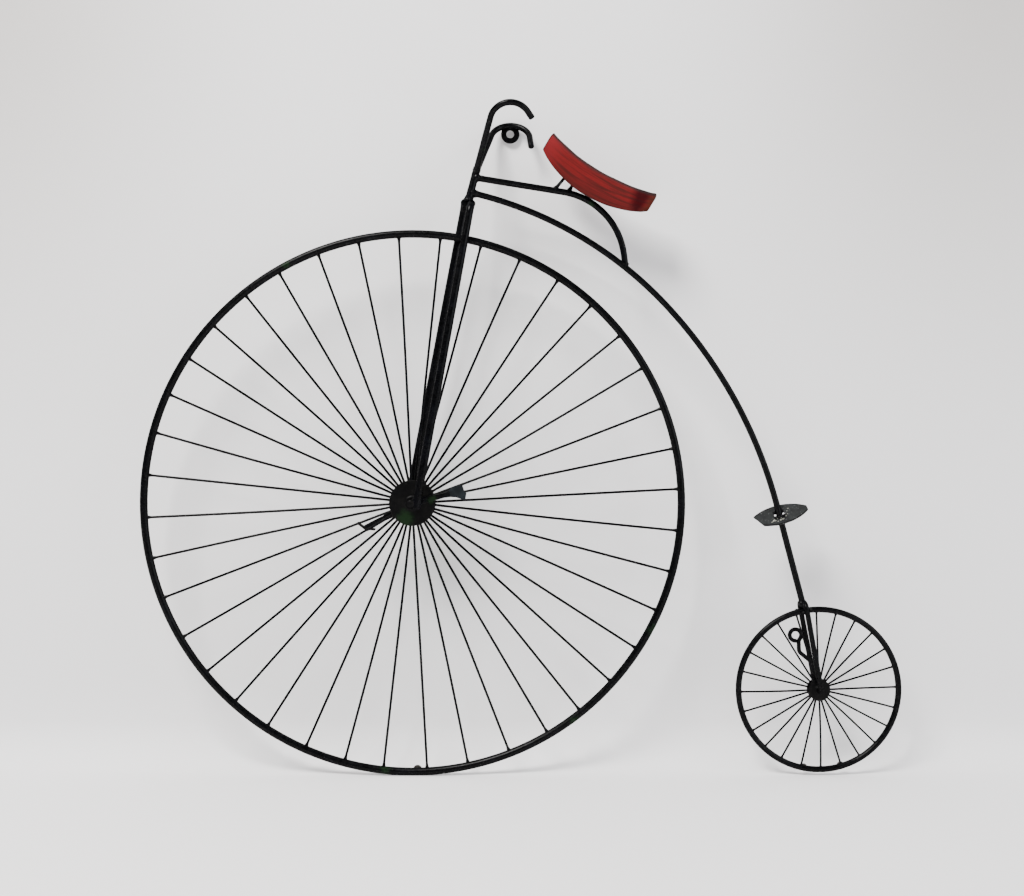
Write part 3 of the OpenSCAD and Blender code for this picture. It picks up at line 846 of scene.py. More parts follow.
def filed(points: list[Vector], cut: float) -> Line:
    """A line whose two ends narrow slightly, as a rod's do after a file.

    Args:
        points: the middle line, in metres.
        cut: how far the narrowing reaches, in metres.

    Returns:
        The line with its thickness.
    """
    start = (points[1] - points[0]).normalized()
    end = (points[-2] - points[-1]).normalized()
    head = [points[0], points[0] + start * cut * 0.35, points[0] + start * cut]
    tail = [points[-1] + end * cut, points[-1] + end * cut * 0.35, points[-1]]
    thickness = [0.80, 0.94, 1.0] + [1.0] * (len(points) - 2) + [1.0, 0.94, 0.80]
    return Line(head + points[1:-1] + tail, thickness)


def move(x: float, y: float, z: float) -> Matrix:
    """A shift, in millimetres."""
    return Matrix.Translation((x, y, z))


def turn_about(axis: str, degrees: float) -> Matrix:
    """A turn about an axis, in degrees."""
    return Matrix.Rotation(math.radians(degrees), 4, axis)


def link(mesh: bpy.types.Mesh, name: str) -> bpy.types.Object:
    """Puts a mesh in the scene as an object at the origin.

    Args:
        mesh: the mesh.
        name: the object's name.

    Returns:
        The object.
    """
    made = bpy.data.objects.new(name, mesh)
    bpy.context.scene.collection.objects.link(made)
    return made


def mesh_from(work: bmesh.types.BMesh, name: str) -> bpy.types.Mesh:
    """Turns a mesh being worked on into a finished one.

    Args:
        work: the working mesh; it is freed.
        name: the new mesh's name.

    Returns:
        The mesh.
    """
    mesh = bpy.data.meshes.new(name)
    work.to_mesh(mesh)
    work.free()
    return mesh


def settle(holder: bpy.types.Object, name: str) -> bpy.types.Object:
    """Turns an object with live modifiers into a plain mesh at the origin.

    Args:
        holder: the object that carries the modifiers; it is removed.
        name: the new piece's name.

    Returns:
        The plain piece.
    """
    bpy.context.view_layer.update()
    graph = bpy.context.evaluated_depsgraph_get()
    mesh = bpy.data.meshes.new_from_object(holder.evaluated_get(graph))
    old = holder.data
    bpy.data.objects.remove(holder)
    bpy.data.meshes.remove(old)
    mesh.name = name
    for label in ("thickness", "hand", "bend"):
        if label in mesh.attributes:
            mesh.attributes.remove(mesh.attributes[label])
    return link(mesh, name)


def run_tree(holder: bpy.types.Object, tree: str, name: str, **sizes: Any) -> bpy.types.Object:
    """Runs a geometry tree on an object and keeps the result as a plain mesh.

    Args:
        holder: the object to run it on; it is removed.
        tree: the tree's short name.
        name: the new piece's name.
        **sizes: the tree's inputs, with spaces as underscores.

    Returns:
        The plain piece.
    """
    group = TREES.get(tree)
    modifier = holder.modifiers.new("maker", "NODES")
    modifier.node_group = group
    wanted = {label.replace("_", " "): value for label, value in sizes.items()}
    for socket in group.interface.items_tree:
        if socket.item_type == "SOCKET" and socket.in_out == "INPUT" and socket.name in wanted:
            modifier[socket.identifier] = wanted.pop(socket.name)
    if wanted:
        raise ValueError(f"{tree} has no inputs named {sorted(wanted)}")
    return settle(holder, name)


def lines_holder(lines: Iterable[Line]) -> bpy.types.Object:
    """A mesh of edges along lines, with their thickness as an attribute.

    Args:
        lines: the lines.

    Returns:
        The mesh's object.
    """
    points: list[Vector] = []
    edges: list[tuple[int, int]] = []
    thickness: list[float] = []
    for line in lines:
        first = len(points)
        count = len(line.points)
        points.extend(line.points)
        thickness.extend(line.thickness)
        edges.extend((first + k, first + k + 1) for k in range(count - 1))
        if line.closed:
            edges.append((first + count - 1, first))
    mesh = bpy.data.meshes.new("lines")
    mesh.from_pydata(points, edges, [])
    made = mesh.attributes.new("thickness", "FLOAT", "POINT")
    made.data.foreach_set("value", thickness)
    return link(mesh, "lines")


def rod(
    name: str, line: Line, diameter: float, finish: Finish, seed: float, sides: int = 28, dent: float = 0.06
) -> bpy.types.Object:
    """Sweeps a round rod along a line.

    Args:
        name: the piece's name.
        line: the rod's middle line.
        diameter: the rod's diameter, in millimetres.
        finish: its finish.
        seed: the seed of its dents.
        sides: how many sides its section has.
        dent: how deep its unevenness is, in millimetres.

    Returns:
        The piece.
    """
    return run_tree(
        lines_holder([line]),
        "rod",
        name,
        Radius=(diameter / 2 + PAINT_FILM) * MM,
        Sides=sides,
        Dent_Depth=dent * MM,
        Dent_Size=0.006,
        Seed=seed,
        Material=finish.material(),
    )


def remeshed(holder: bpy.types.Object, voxel: float) -> bpy.types.Object:
    """Fuses an object into one even skin, for the dents tree to work on.

    Args:
        holder: the object; it is removed.
        voxel: the size of its facets, in millimetres.

    Returns:
        The fused object.
    """
    modifier = holder.modifiers.new("skin", "REMESH")
    modifier.mode = "VOXEL"
    modifier.voxel_size = voxel * MM
    return settle(holder, "fused")


def dented(
    holder: bpy.types.Object, name: str, finish: Finish, seed: float, ease: int, dent: float, size: float
) -> bpy.types.Object:
    """Dents and dresses a closed mesh.

    Args:
        holder: the mesh's object; it is removed.
        name: the new piece's name.
        finish: its finish.
        seed: the seed of its dents.
        ease: how much its edges are rounded.
        dent: how deep its dents are, in millimetres.
        size: how wide its dents are, in metres.

    Returns:
        The piece.
    """
    settings = {"Smoothing": ease, "Dent_Depth": dent * MM, "Dent_Size": size, "Seed": seed}
    return run_tree(holder, "dents", name, Material=finish.material(), **settings)


def worn(
    node: str,
    finish: Finish,
    seed: float,
    voxel: float = 0.4,
    dent: float = 0.25,
    ease: int = 4,
    swell: float = 0.0,
) -> bpy.types.Object:
    """A hand-worked copy of a frame solid: edges eased, faces dented.

    Args:
        node: the frame's solid.
        finish: the piece's finish.
        seed: the seed of its dents.
        voxel: the size of its facets, in millimetres.
        dent: how deep its dents are, in millimetres.
        ease: how much its edges are rounded.
        swell: how far paint and weld thicken it, in millimetres.

    Returns:
        The piece.
    """
    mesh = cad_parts[node].data.copy()
    work = bmesh.new()
    work.from_mesh(mesh)
    bmesh.ops.remove_doubles(work, verts=work.verts, dist=1e-6)
    work.to_mesh(mesh)
    work.free()
    fused = remeshed(link(mesh, "copy"), voxel)
    if swell:
        for vertex, out in zip(fused.data.vertices, [v.normal.copy() for v in fused.data.vertices]):
            vertex.co += out * swell * MM
    return dented(fused, f"{node}_worn", finish, seed, ease, dent, 0.008)


def beads(
    name: str, lines: Iterable[Line], finish: Finish, seed: int, voxel: float = 0.38
) -> bpy.types.Object:
    """Weld beads along lines, whose thickness is the beads' radius in millimetres.

    Args:
        name: the piece's name.
        lines: the seams.
        finish: the piece's finish.
        seed: the seed of the drops' sizes.
        voxel: the size of its facets, in millimetres.

    Returns:
        The piece.
    """
    settings = {"Drop_Radius": MM, "Pitch": 0.9 * MM, "Seed": seed, "Material": finish.material()}
    drops = run_tree(lines_holder(lines), "beads", "drops", **settings)
    return dented(remeshed(drops, voxel), name, finish, float(seed), 3, 0.22, 0.0022)


def lathe(
    name: str,
    profile: Sequence[tuple[float, float]],
    place: Matrix,
    finish: Finish,
    seed: float,
    sides: int = 72,
    dent: float = 0.05,
    hollow: bool = False,
) -> bpy.types.Object:
    """Turns an outline about the Y axis.

    Args:
        name: the piece's name.
        profile: the outline's points, each a radius and a height along Y, in millimetres.
        place: where the piece's middle goes, in millimetres.
        finish: its finish.
        seed: the seed of its dents.
        sides: how many steps go round.
        dent: how deep its dents are, in millimetres.
        hollow: whether the outline closes on itself and leaves a hole.

    Returns:
        The piece.
    """
    work = bmesh.new()
    rings: list[list[bmesh.types.BMVert]] = []
    for radius, height in profile:
        if radius < 1e-9:
            rings.append([work.verts.new(place @ Vector((0.0, height, 0.0)) * MM)])
            continue
        ring = []
        for k in range(sides):
            angle = 2 * math.pi * k / sides
            spot = Vector((radius * math.cos(angle), height, radius * math.sin(angle)))
            ring.append(work.verts.new(place @ spot * MM))
        rings.append(ring)
    pairs = list(zip(rings, rings[1:]))
    if hollow:
        pairs.append((rings[-1], rings[0]))
    for low, high in pairs:
        for k in range(sides):
            n = (k + 1) % sides
            corners = [low[k % len(low)], low[n % len(low)], high[n % len(high)], high[k % len(high)]]
            unique = list(dict.fromkeys(corners))
            if len(unique) > 2:
                work.faces.new(unique)
    bmesh.ops.recalc_face_normals(work, faces=work.faces)
    return dented(link(mesh_from(work, name), "turned"), name, finish, seed, 0, dent, 0.004)


def steps(low: float, high: float, pitch: float) -> list[float]:
    """Even steps from one number to another, both ends included."""
    count = max(1, math.ceil(abs(high - low) / pitch))
    return [low + (high - low) * k / count for k in range(count + 1)]


def give(
    piece: bpy.types.Object, *nodes: str, body: Body = Body.FRAME, slot: Slot = Slot.BLACK
) -> None:
    """Hands a finished piece to the frame.

    Args:
        piece: the piece.
        *nodes: the frame's solids that it stands for.
        body: the body it rides on.
        slot: the record's slot for its finish; not used.
    """
    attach(piece, body.value)
    if nodes:
        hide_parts(*nodes)
    LOG.info("%s: %d faces, rides on %s", piece.name, len(piece.data.polygons), body.value)


def circle(centre: Vector, one: Vector, two: Vector, radius: float, count: int) -> list[Vector]:
    """Points round a circle.

    Args:
        centre: its middle, in millimetres.
        one: the direction of its first point.
        two: the direction of the point a quarter turn on.
        radius: its radius, in millimetres.
        count: how many points it has.

    Returns:
        The points, in metres.
    """
    angles = [2 * math.pi * k / count for k in range(count)]
    return [(centre + radius * (math.cos(a) * one + math.sin(a) * two)) * MM for a in angles]


def size_of(node: str) -> tuple[float, float, float]:
    """The size of a frame solid's box along X, Y and Z, in millimetres."""
    low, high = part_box(node)
    return tuple((high[k] - low[k]) / MM for k in range(3))


def middle(node: str) -> Vector:
    """The middle of a frame solid's box, in millimetres."""
    low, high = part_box(node)
    return (Vector(low) + Vector(high)) / (2 * MM)


# ---------------------------------------------------------------- the machine's layout


@dataclass
class Layout:
    """The sizes that several assemblies share, in millimetres and degrees."""

    rim_bar: float = 8.0
    rear_rim_bar: float = 6.0
    crown_over_rim: float = 40.0
    fork_lean: float = 10.5
    fork_leg: float = 7.9
    head: float = 8.0
    head_len: float = 36.0
    head_lean: float = 15.0
    backbone: float = 6.4
    rear_leg: float = 5.2
    rear_lean: float = 10.5
    bumper: float = 3.0
    side_gap: float = 1.2
    crown_gap: float = 6.0
    disc_gap: float = 14.0
    disc: float = 2.5
    pedal_depth: float = 7.6
    pedal_gap: float = 3.2
    backbone_heading: float = -75.3
    rear_splay: float = 1.6
    step_up: float = 100.0

    def __post_init__(self) -> None:
        """Reads the hubs and rims from the frame and works out the rest."""
        self.hub = middle("front_axle")
        self.rear_hub = middle("rear_axle")
        self.rim_outer = size_of("front_rim")[2] / 2
        self.rear_rim_outer = size_of("rear_rim")[2] / 2
        self.fork_len = self.rim_outer + self.crown_over_rim
        self.crown = self.reach(self.hub, 90 - self.fork_lean, self.fork_len)
        self.leg_y = self.disc_gap / 2 + self.disc + self.pedal_depth + self.pedal_gap + self.fork_leg / 2
        self.leg_crown_y = self.rim_bar / 2 + self.bumper + self.side_gap + self.fork_leg / 2
        self.rear_reach = self.rear_rim_outer + self.crown_gap
        self.rear_heading = 90 + self.rear_lean
        self.rear_crown = self.reach(self.rear_hub, self.rear_heading, self.rear_reach)
        self.rear_crown_y = self.rear_rim_bar / 2 + self.bumper + self.side_gap + self.rear_leg / 2
        self.rear_leg_y = self.rear_crown_y + self.rear_splay

    def reach(self, start: Vector, heading: float, length: float) -> Vector:
        """The point at a distance along a heading, in the wheels' plane."""
        turn = math.radians(heading)
        return Vector((start.x + length * math.cos(turn), 0.0, start.z + length * math.sin(turn)))

    def on_head(self, length: float) -> Vector:
        """The point at a distance up the head rod from the crown."""
        return self.reach(self.crown, 90 - self.head_lean, length)


def flat(point: Vector) -> Vector:
    """A point of the wheels' plane as X and height."""
    return Vector((point.x, point.z))


def in_plane(point: Vector) -> Vector:
    """A point given as X and height, in the wheels' plane."""
    return Vector((point.x, 0.0, point.y))


def heading_of(degrees: float) -> Vector:
    """A heading's unit vector, as X and height."""
    return Vector((math.cos(math.radians(degrees)), math.sin(math.radians(degrees))))


@dataclass
class BentRods:
    """The frame's long rods: head, backbone, seat rod, handlebars and their washer."""

    layout: Layout
    backbone_tail: float = 110.0
    backbone_from: float = 7.5
    backbone_start_heading: float = -13.0
    seat_rod: float = 6.5
    seat_from: float = 24.5
    seat_heading: float = -9.2
    seat_end_heading: float = -83.0
    seat_bend: float = 80.0
    seat_share: float = 0.757
    bar: float = 6.2
    bar_rise: float = 76.0
    bar_splay: float = 36.0
    bar_lean: float = 15.0
    bar_bend: float = 22.0
    bar_side: float = 3.2
    curls: dict[Side, float] = field(default_factory=lambda: {Side.NEAR: 57.0, Side.FAR: 85.0})
    tails: dict[Side, float] = field(default_factory=lambda: {Side.NEAR: 9.0, Side.FAR: 16.0})
    washer: float = 21.0
    washer_hole: float = 9.0
    washer_thick: float = 2.0

    def __post_init__(self) -> None:
        """Works out the two arcs of the backbone and the seat rod's straight parts."""
        plan = self.layout
        start = flat(plan.on_head(self.backbone_from))
        tail = flat(plan.reach(plan.rear_crown, plan.backbone_heading, -self.backbone_tail))
        first, last = heading_of(self.backbone_start_heading), heading_of(plan.backbone_heading)
        span = tail - start
        pull = span.dot(first + last)
        share = 2 * (1 - first.dot(last))
        reach = (math.sqrt(pull * pull + share * span.dot(span)) - pull) / share
        meet = (start + reach * first + tail - reach * last) / 2
        aim = math.degrees(math.atan2(meet.y - start.y, meet.x - start.x))
        self.turn_1 = 2 * (aim - self.backbone_start_heading)
        self.turn_2 = plan.backbone_heading - self.backbone_start_heading - self.turn_1
        self.radius_1 = (meet - start).length / (2 * math.sin(math.radians(abs(self.turn_1)) / 2))
        self.radius_2 = (tail - meet).length / (2 * math.sin(math.radians(abs(self.turn_2)) / 2))
        self.backbone_start = start
        self.seat_start = flat(plan.on_head(self.seat_from))
        weld = WirePath(start.x, start.y, self.backbone_start_heading)
        weld.bend(self.radius_1, self.turn_1 * self.seat_share)
        self.seat_end = Vector((weld.x, weld.y))
        run = self.seat_end - self.seat_start
        across = math.radians(self.seat_heading)
        turn = math.radians(self.seat_end_heading - self.seat_heading)
        second = (run.y * math.cos(across) - run.x * math.sin(across)) / math.sin(turn)
        along = run.dot(heading_of(self.seat_heading)) - second * math.cos(turn)
        tangent = self.seat_bend * math.tan(abs(turn) / 2)
        self.seat_straights = (along - tangent, second - tangent)
        self.bar_root = plan.on_head(plan.head_len - 3)
        lean = math.radians(self.bar_lean)
        self.bar_straight = (self.bar_rise - self.bar_bend * (1 - math.sin(lean))) / math.cos(lean)
        self.bar_top_y = self.bar_side + self.bar_rise * math.sin(math.radians(self.bar_splay))

    def bar_line(self, side: Side) -> Line:
        """The middle line of one handlebar.

        Args:
            side: which handlebar.

        Returns:
            The line.
        """
        path = WirePath(0.0, 0.0, 90 - self.bar_lean)
        path.straight(self.bar_straight).bend(self.bar_bend, self.bar_lean - 90 - self.curls[side])
        path.straight(self.tails[side])
        root = move(self.bar_root.x, side.value * self.bar_side, self.bar_root.z)
        return path.placed(root @ turn_about("X", -side.value * self.bar_splay) @ UPRIGHT)

    def backbone_line(self) -> Line:
        """The middle line of the backbone.

        Returns:
            The line.
        """
        path = WirePath(*self.backbone_start, self.backbone_start_heading)
        path.bend(self.radius_1, self.turn_1, 4.0).bend(self.radius_2, self.turn_2, 4.0)
        return path.straight(self.backbone_tail).placed(UPRIGHT)

    def seat_line(self) -> Line:
        """The middle line of the seat rod.

        Returns:
            The line.
        """
        path = WirePath(*self.seat_start, self.seat_heading)
        path.straight(self.seat_straights[0]).bend(self.seat_bend, self.seat_end_heading - self.seat_heading)
        return path.straight(self.seat_straights[1]).placed(UPRIGHT)

    def on_seat_rod(self, length: float) -> Vector:
        """The point at a distance along the seat rod's straight part."""
        spot = self.seat_start + length * heading_of(self.seat_heading)
        return in_plane(spot)

    def build(self) -> None:
        """Makes and dresses the rods and the washer."""
        plan = self.layout
        path = WirePath(plan.crown.x, plan.crown.z, 90 - plan.head_lean).straight(plan.head_len)
        give(rod("head_rod_bar", path.placed(UPRIGHT), plan.head, PAINT_HEAD, 1.0, dent=0.25), "head_rod")
        give(rod("backbone_bar", self.backbone_line(), plan.backbone, PAINT_FRAME, 2.0), "backbone")
        give(rod("seat_rod_bar", self.seat_line(), self.seat_rod, PAINT_FRAME, 3.0), "seat_rod")
        for side in Side:
            name = side.name.lower()
            bar = rod(f"handlebar_{name}_bar", self.bar_line(side), self.bar, PAINT_FRAME, 4.0 + side.value)
            give(bar, f"handlebar_{name}")
        self.hang()

    def hang(self) -> None:
        """Makes the flat washer that the piece hangs by."""
        r, hole, thick, edge = self.washer / 2, self.washer_hole / 2, self.washer_thick / 2, 0.25
        outline = [
            (hole + edge, -thick),
            *[(x, -thick) for x in steps(hole + 1, r - 1, 1.2)],
            (r - edge, -thick),
            (r, edge - thick),
            (r, thick - edge),
            (r - edge, thick),
            *[(x, thick) for x in steps(r - 1, hole + 1, 1.2)],
            (hole + edge, thick),
            (hole, thick - edge),
            (hole, edge - thick),
        ]
        spot = middle("hanging_washer")
        ring = lathe("hanging_washer_ring", outline, move(*spot), PAINT_FRAME, 8.0, hollow=True)
        give(ring, "hanging_washer")


@dataclass
class Forks:
    """Both forks, their fixed axles and the bent wire beside the rear one."""

    layout: Layout
    rear_straight_gap: float = 7.0
    foot_swell: float = 0.08
    foot_offset: float = 0.76
    rear_foot_offset: float = 0.06
    rear_crown_offset: float = 0.27
    wire: float = 3.7
    wire_eye: float = 15.6

    def leg_line(self, side: Side) -> Line:
        """The middle line of a front leg.

        Args:
            side: which leg.

        Returns:
            The line.
        """
        plan, hand = self.layout, side.value
        foot_shift, top_shift = plan.fork_leg * self.foot_offset, plan.fork_leg / 2 + 0.1
        close = math.degrees(math.atan((foot_shift - top_shift) / plan.fork_len))
        straight = plan.fork_len - plan.leg_crown_y - plan.fork_leg / 2
        slant = math.atan((plan.leg_y - plan.leg_crown_y) / straight)
        place = move(plan.hub.x, 0, plan.hub.z) @ turn_about("Y", plan.fork_lean)
        place = place @ move(-hand * foot_shift, 0, 0) @ turn_about("Y", hand * close) @ ACROSS
        path = WirePath(hand * plan.leg_y, -plan.fork_leg / 2, 90 + hand * math.degrees(slant))
        path.straight((straight + plan.fork_leg / 2) / math.cos(slant))
        path.bend(plan.leg_crown_y, hand * (88 - math.degrees(slant)), 1.0)
        line = path.placed(place)
        foot = line.points[0]
        for k, point in enumerate(line.points):
            run = (point - foot).length / (plan.fork_len * MM)
            line.thickness[k] *= 1.0 + self.foot_swell * max(0.0, 1.0 - run)
        return line

    def rear_leg_line(self, side: Side) -> Line:
        """The middle line of a rear leg.

        Args:
            side: which leg.

        Returns:
            The line.
        """
        plan, hand = self.layout, side.value
        straight = plan.rear_reach - self.rear_straight_gap
        slant = math.atan((plan.rear_leg_y - plan.rear_crown_y) / straight)
        place = move(plan.rear_hub.x, 0, plan.rear_hub.z) @ turn_about("Y", 90 - plan.rear_heading)
        foot, top = plan.rear_leg * self.rear_foot_offset, plan.rear_leg * self.rear_crown_offset
        close = math.degrees(math.atan((foot - top) / plan.rear_reach))
        place = place @ move(-hand * foot, 0, 0) @ turn_about("Y", hand * close) @ ACROSS
        path = WirePath(hand * plan.rear_leg_y, -plan.rear_leg / 2, 90 + hand * math.degrees(slant))
        path.straight((straight + plan.rear_leg / 2) / math.cos(slant))
        path.bend(self.rear_straight_gap, hand * 80, 0.8)
        return path.placed(place)

    def hanger_line(self) -> Line:
        """The middle line of the wire with the eye.

        Returns:
            The line.
        """
        plan = self.layout
        start = plan.reach(plan.rear_hub, plan.rear_heading, 31)
        eye = (self.wire_eye - self.wire) / 2 + 0.4
        path = WirePath(0.0, 0.0, 141).straight(12.5, 1.0).bend(5, -49, 0.6).straight(8.2, 1.0)
        path.bend(eye, -40, 0.6).bend(eye, 322, 0.6)
        return path.placed(move(start.x - 2, plan.rear_crown_y, start.z) @ UPRIGHT, 0.3)

    def pin(self, name: str, node: str, seed: float) -> None:
        """Makes one fixed axle, peened round at both ends.

        Args:
            name: the piece's name.
            node: the frame's axle.
            seed: the seed of its dents.
        """
        wide, long, _ = size_of(node)
        r, half = wide / 2, long / 2
        dome = [(r * math.cos(a), half - 0.9 + 0.9 * math.sin(a)) for a in steps(0, math.pi / 2, 0.2)]
        outline = [(x, -y) for x, y in reversed(dome)] + dome
        outline[0] = (0.0, -half)
        outline[-1] = (0.0, half)
        give(lathe(name, outline, move(*middle(node)), PAINT_HUB, seed, 40), node)

    def build(self) -> None:
        """Makes and dresses the legs, axles and wire."""
        plan = self.layout
        for side in Side:
            name = side.name.lower()
            for node, line, thick, finish, seed in (
                (f"fork_leg_{name}", self.leg_line(side), plan.fork_leg, PAINT_FRAME, 11.0),
                (f"rear_fork_leg_{name}", self.rear_leg_line(side), plan.rear_leg, PAINT_REAR, 14.0),
            ):
                give(rod(f"{node}_bar", line, thick, finish, seed + side.value), node)
        wire = rod("wire_hanger_bar", self.hanger_line(), self.wire + 0.3, PAINT_FRAME, 17.0, 20, 0.04)
        give(wire, "wire_hanger")
        self.pin("front_axle_pin", "front_axle", 18.0)
        self.pin("rear_axle_pin", "rear_axle", 19.0)


@dataclass
class Wheel:
    """One wheel: rim, spokes, two discs, the barrel they stand on and rubber bumpers."""

    name: str
    body: Body
    spokes: int
    phase: float
    spoke: float
    disc_gap: float
    root_in: float
    flare: float
    seed: int

    def __post_init__(self) -> None:
        """Reads the rim's and the discs' sizes from the frame."""
        axle = f"{self.name}_axle"
        self.hub = middle(axle)
        rim, disc = size_of(f"{self.name}_rim"), size_of(f"{self.name}_disc_near")
        barrel = size_of(f"{self.name}_hub_barrel")
        self.bar = rim[1]
        self.rim_r = rim[2] / 2 - self.bar / 2
        self.disc_r, self.disc_thick = disc[2] / 2, disc[1]
        self.barrel_r, self.barrel_half = barrel[2] / 2, barrel[1] / 2
        self.bore_r = size_of(axle)[2] / 2 + RUNNING_FIT

    def rim(self) -> None:
        """Bends the rim."""
        count = 360 if self.rim_r > 150 else 180
        ahead, up = Vector((1.0, 0.0, 0.0)), Vector((0.0, 0.0, 1.0))
        points = circle(self.hub, ahead, up, self.rim_r, count)
        finish = PAINT_RIM if self.body is Body.FRONT else PAINT_REAR
        hoop = rod(f"{self.name}_rim_bar", Line(points, [1.0] * count, True), self.bar, finish,
                   float(self.seed), 24, 0.1)
        give(hoop, f"{self.name}_rim", body=self.body)

    def wires(self) -> None:
        """Sets the spokes and moves them onto the hub."""
        made = run_tree(
            lines_holder([]),
            "spokes",
            f"{self.name}_spoke_set",
            Count=self.spokes,
            Phase=math.radians(self.phase),
            Wire_Radius=(self.spoke / 2 + SPOKE_FILM) * MM,
            Root_Radius=(self.disc_r - self.root_in) * MM,
            Tip_Radius=(self.rim_r - self.bar / 2 + 0.6) * MM,
            Root_Offset=(self.disc_gap / 2 - self.spoke / 2) * MM,
            Flare_Length=self.flare * MM,
            Bow=self.spoke * 0.35 * MM,
            Seed=self.seed,
            Material=PAINT_SPOKE.material(),
        )
        made.data.transform(Matrix.Translation(self.hub * MM))
        give(made, f"{self.name}_spokes", body=self.body)

    def disc(self, side: Side) -> None:
        """Turns one hub disc, with a weld fillet round the barrel.

        Args:
            side: which side of the wheel it is on.
        """
        half, r, hole, edge = self.disc_thick / 2, self.disc_r, self.barrel_r - 0.4, self.disc_thick * 0.18
        out = side.value
        fillet = [(hole, half + 1.1), (hole + 0.6, half + 0.9), (hole + 1.2, half + 0.35)]
        face = [(x, half) for x in steps(hole + 2.0, r - edge - 0.4, 1.1)]
        rim = [(r - edge, half), (r - edge * 0.3, half - edge * 0.4), (r, half - edge), (r, edge - half)]
        back = [(r - edge, -half), *[(x, -half) for x in steps(r - edge - 0.6, hole, 1.4)]]
        outline = [(x, out * y) for x, y in fillet + face + rim + back]
        spot = self.hub + Vector((0.0, out * (self.disc_gap / 2 + half), 0.0))
        name = side.name.lower()
        plate = lathe(f"{self.name}_disc_{name}_plate", outline, move(*spot), PAINT_HUB,
                      self.seed + out, 96, 0.16, True)
        give(plate, f"{self.name}_disc_{name}", body=self.body)

    def barrel(self) -> None:
        """Turns the barrel that runs on the axle."""
        r, bore, half, edge = self.barrel_r, self.bore_r, self.barrel_half, 0.4
        wall = [(r, y) for y in steps(1 - half, half - 1, 2)]
        outline = [(bore, -half), (r - edge, -half), (r, edge - half), *wall]
        outline += [(r, half - edge), (r - edge, half), (bore, half)]
        name, seed = f"{self.name}_hub_tube", self.seed + 3.0
        tube = lathe(name, outline, move(*self.hub), PAINT_HUB, seed, 56, 0.04, True)
        give(tube, f"{self.name}_hub_barrel", body=self.body)

    def stop(self, name: str, node: str, spots: Sequence[Vector], diameter: float, thick: float) -> None:
        """Moulds round rubber bumpers, domed towards the wall.

        Args:
            name: the piece's name.
            node: the frame's solid that they stand for.
            spots: where each one stands on the rim, in millimetres.
            diameter: a bumper's diameter, in millimetres.
            thick: how far it stands out from the rim.
        """
        r, base = diameter / 2, -thick - 1.0
        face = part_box(node)[1][1] / MM
        dome = [(r * math.cos(a), -1.2 + 1.2 * math.sin(a)) for a in steps(0, math.pi / 2, 0.13)]
        outline = [(0.0, base), (r * 0.5, base), (r, base), (r, -1.9), (r, -1.5), *dome]
        outline[-1] = (0.0, 0.0)
        made = []
        for k, spot in enumerate(spots):
            place = move(spot.x, face, spot.z)
            made.append(lathe(f"{name}_{k}", outline, place, RUBBER, self.seed + k, 40))
        joined = join(made, name) if len(made) > 1 else made[0]
        give(joined, node, body=self.body, slot=Slot.RUBBER)

    def build(self) -> None:
        """Makes and dresses the whole wheel but its bumpers."""
        self.rim()
        self.wires()
        for side in Side:
            self.disc(side)
        self.barrel()


def join(pieces: Sequence[bpy.types.Object], name: str) -> bpy.types.Object:
    """Joins plain pieces of one material into one.

    Args:
        pieces: the pieces; they are removed.
        name: the new piece's name.

    Returns:
        The joined piece.
    """
    work = bmesh.new()
    for piece in pieces:
        work.from_mesh(piece.data)
    mesh = mesh_from(work, name)
    mesh.materials.append(pieces[0].data.materials[0])
    for piece in pieces:
        bpy.data.objects.remove(piece)
    return link(mesh, name)


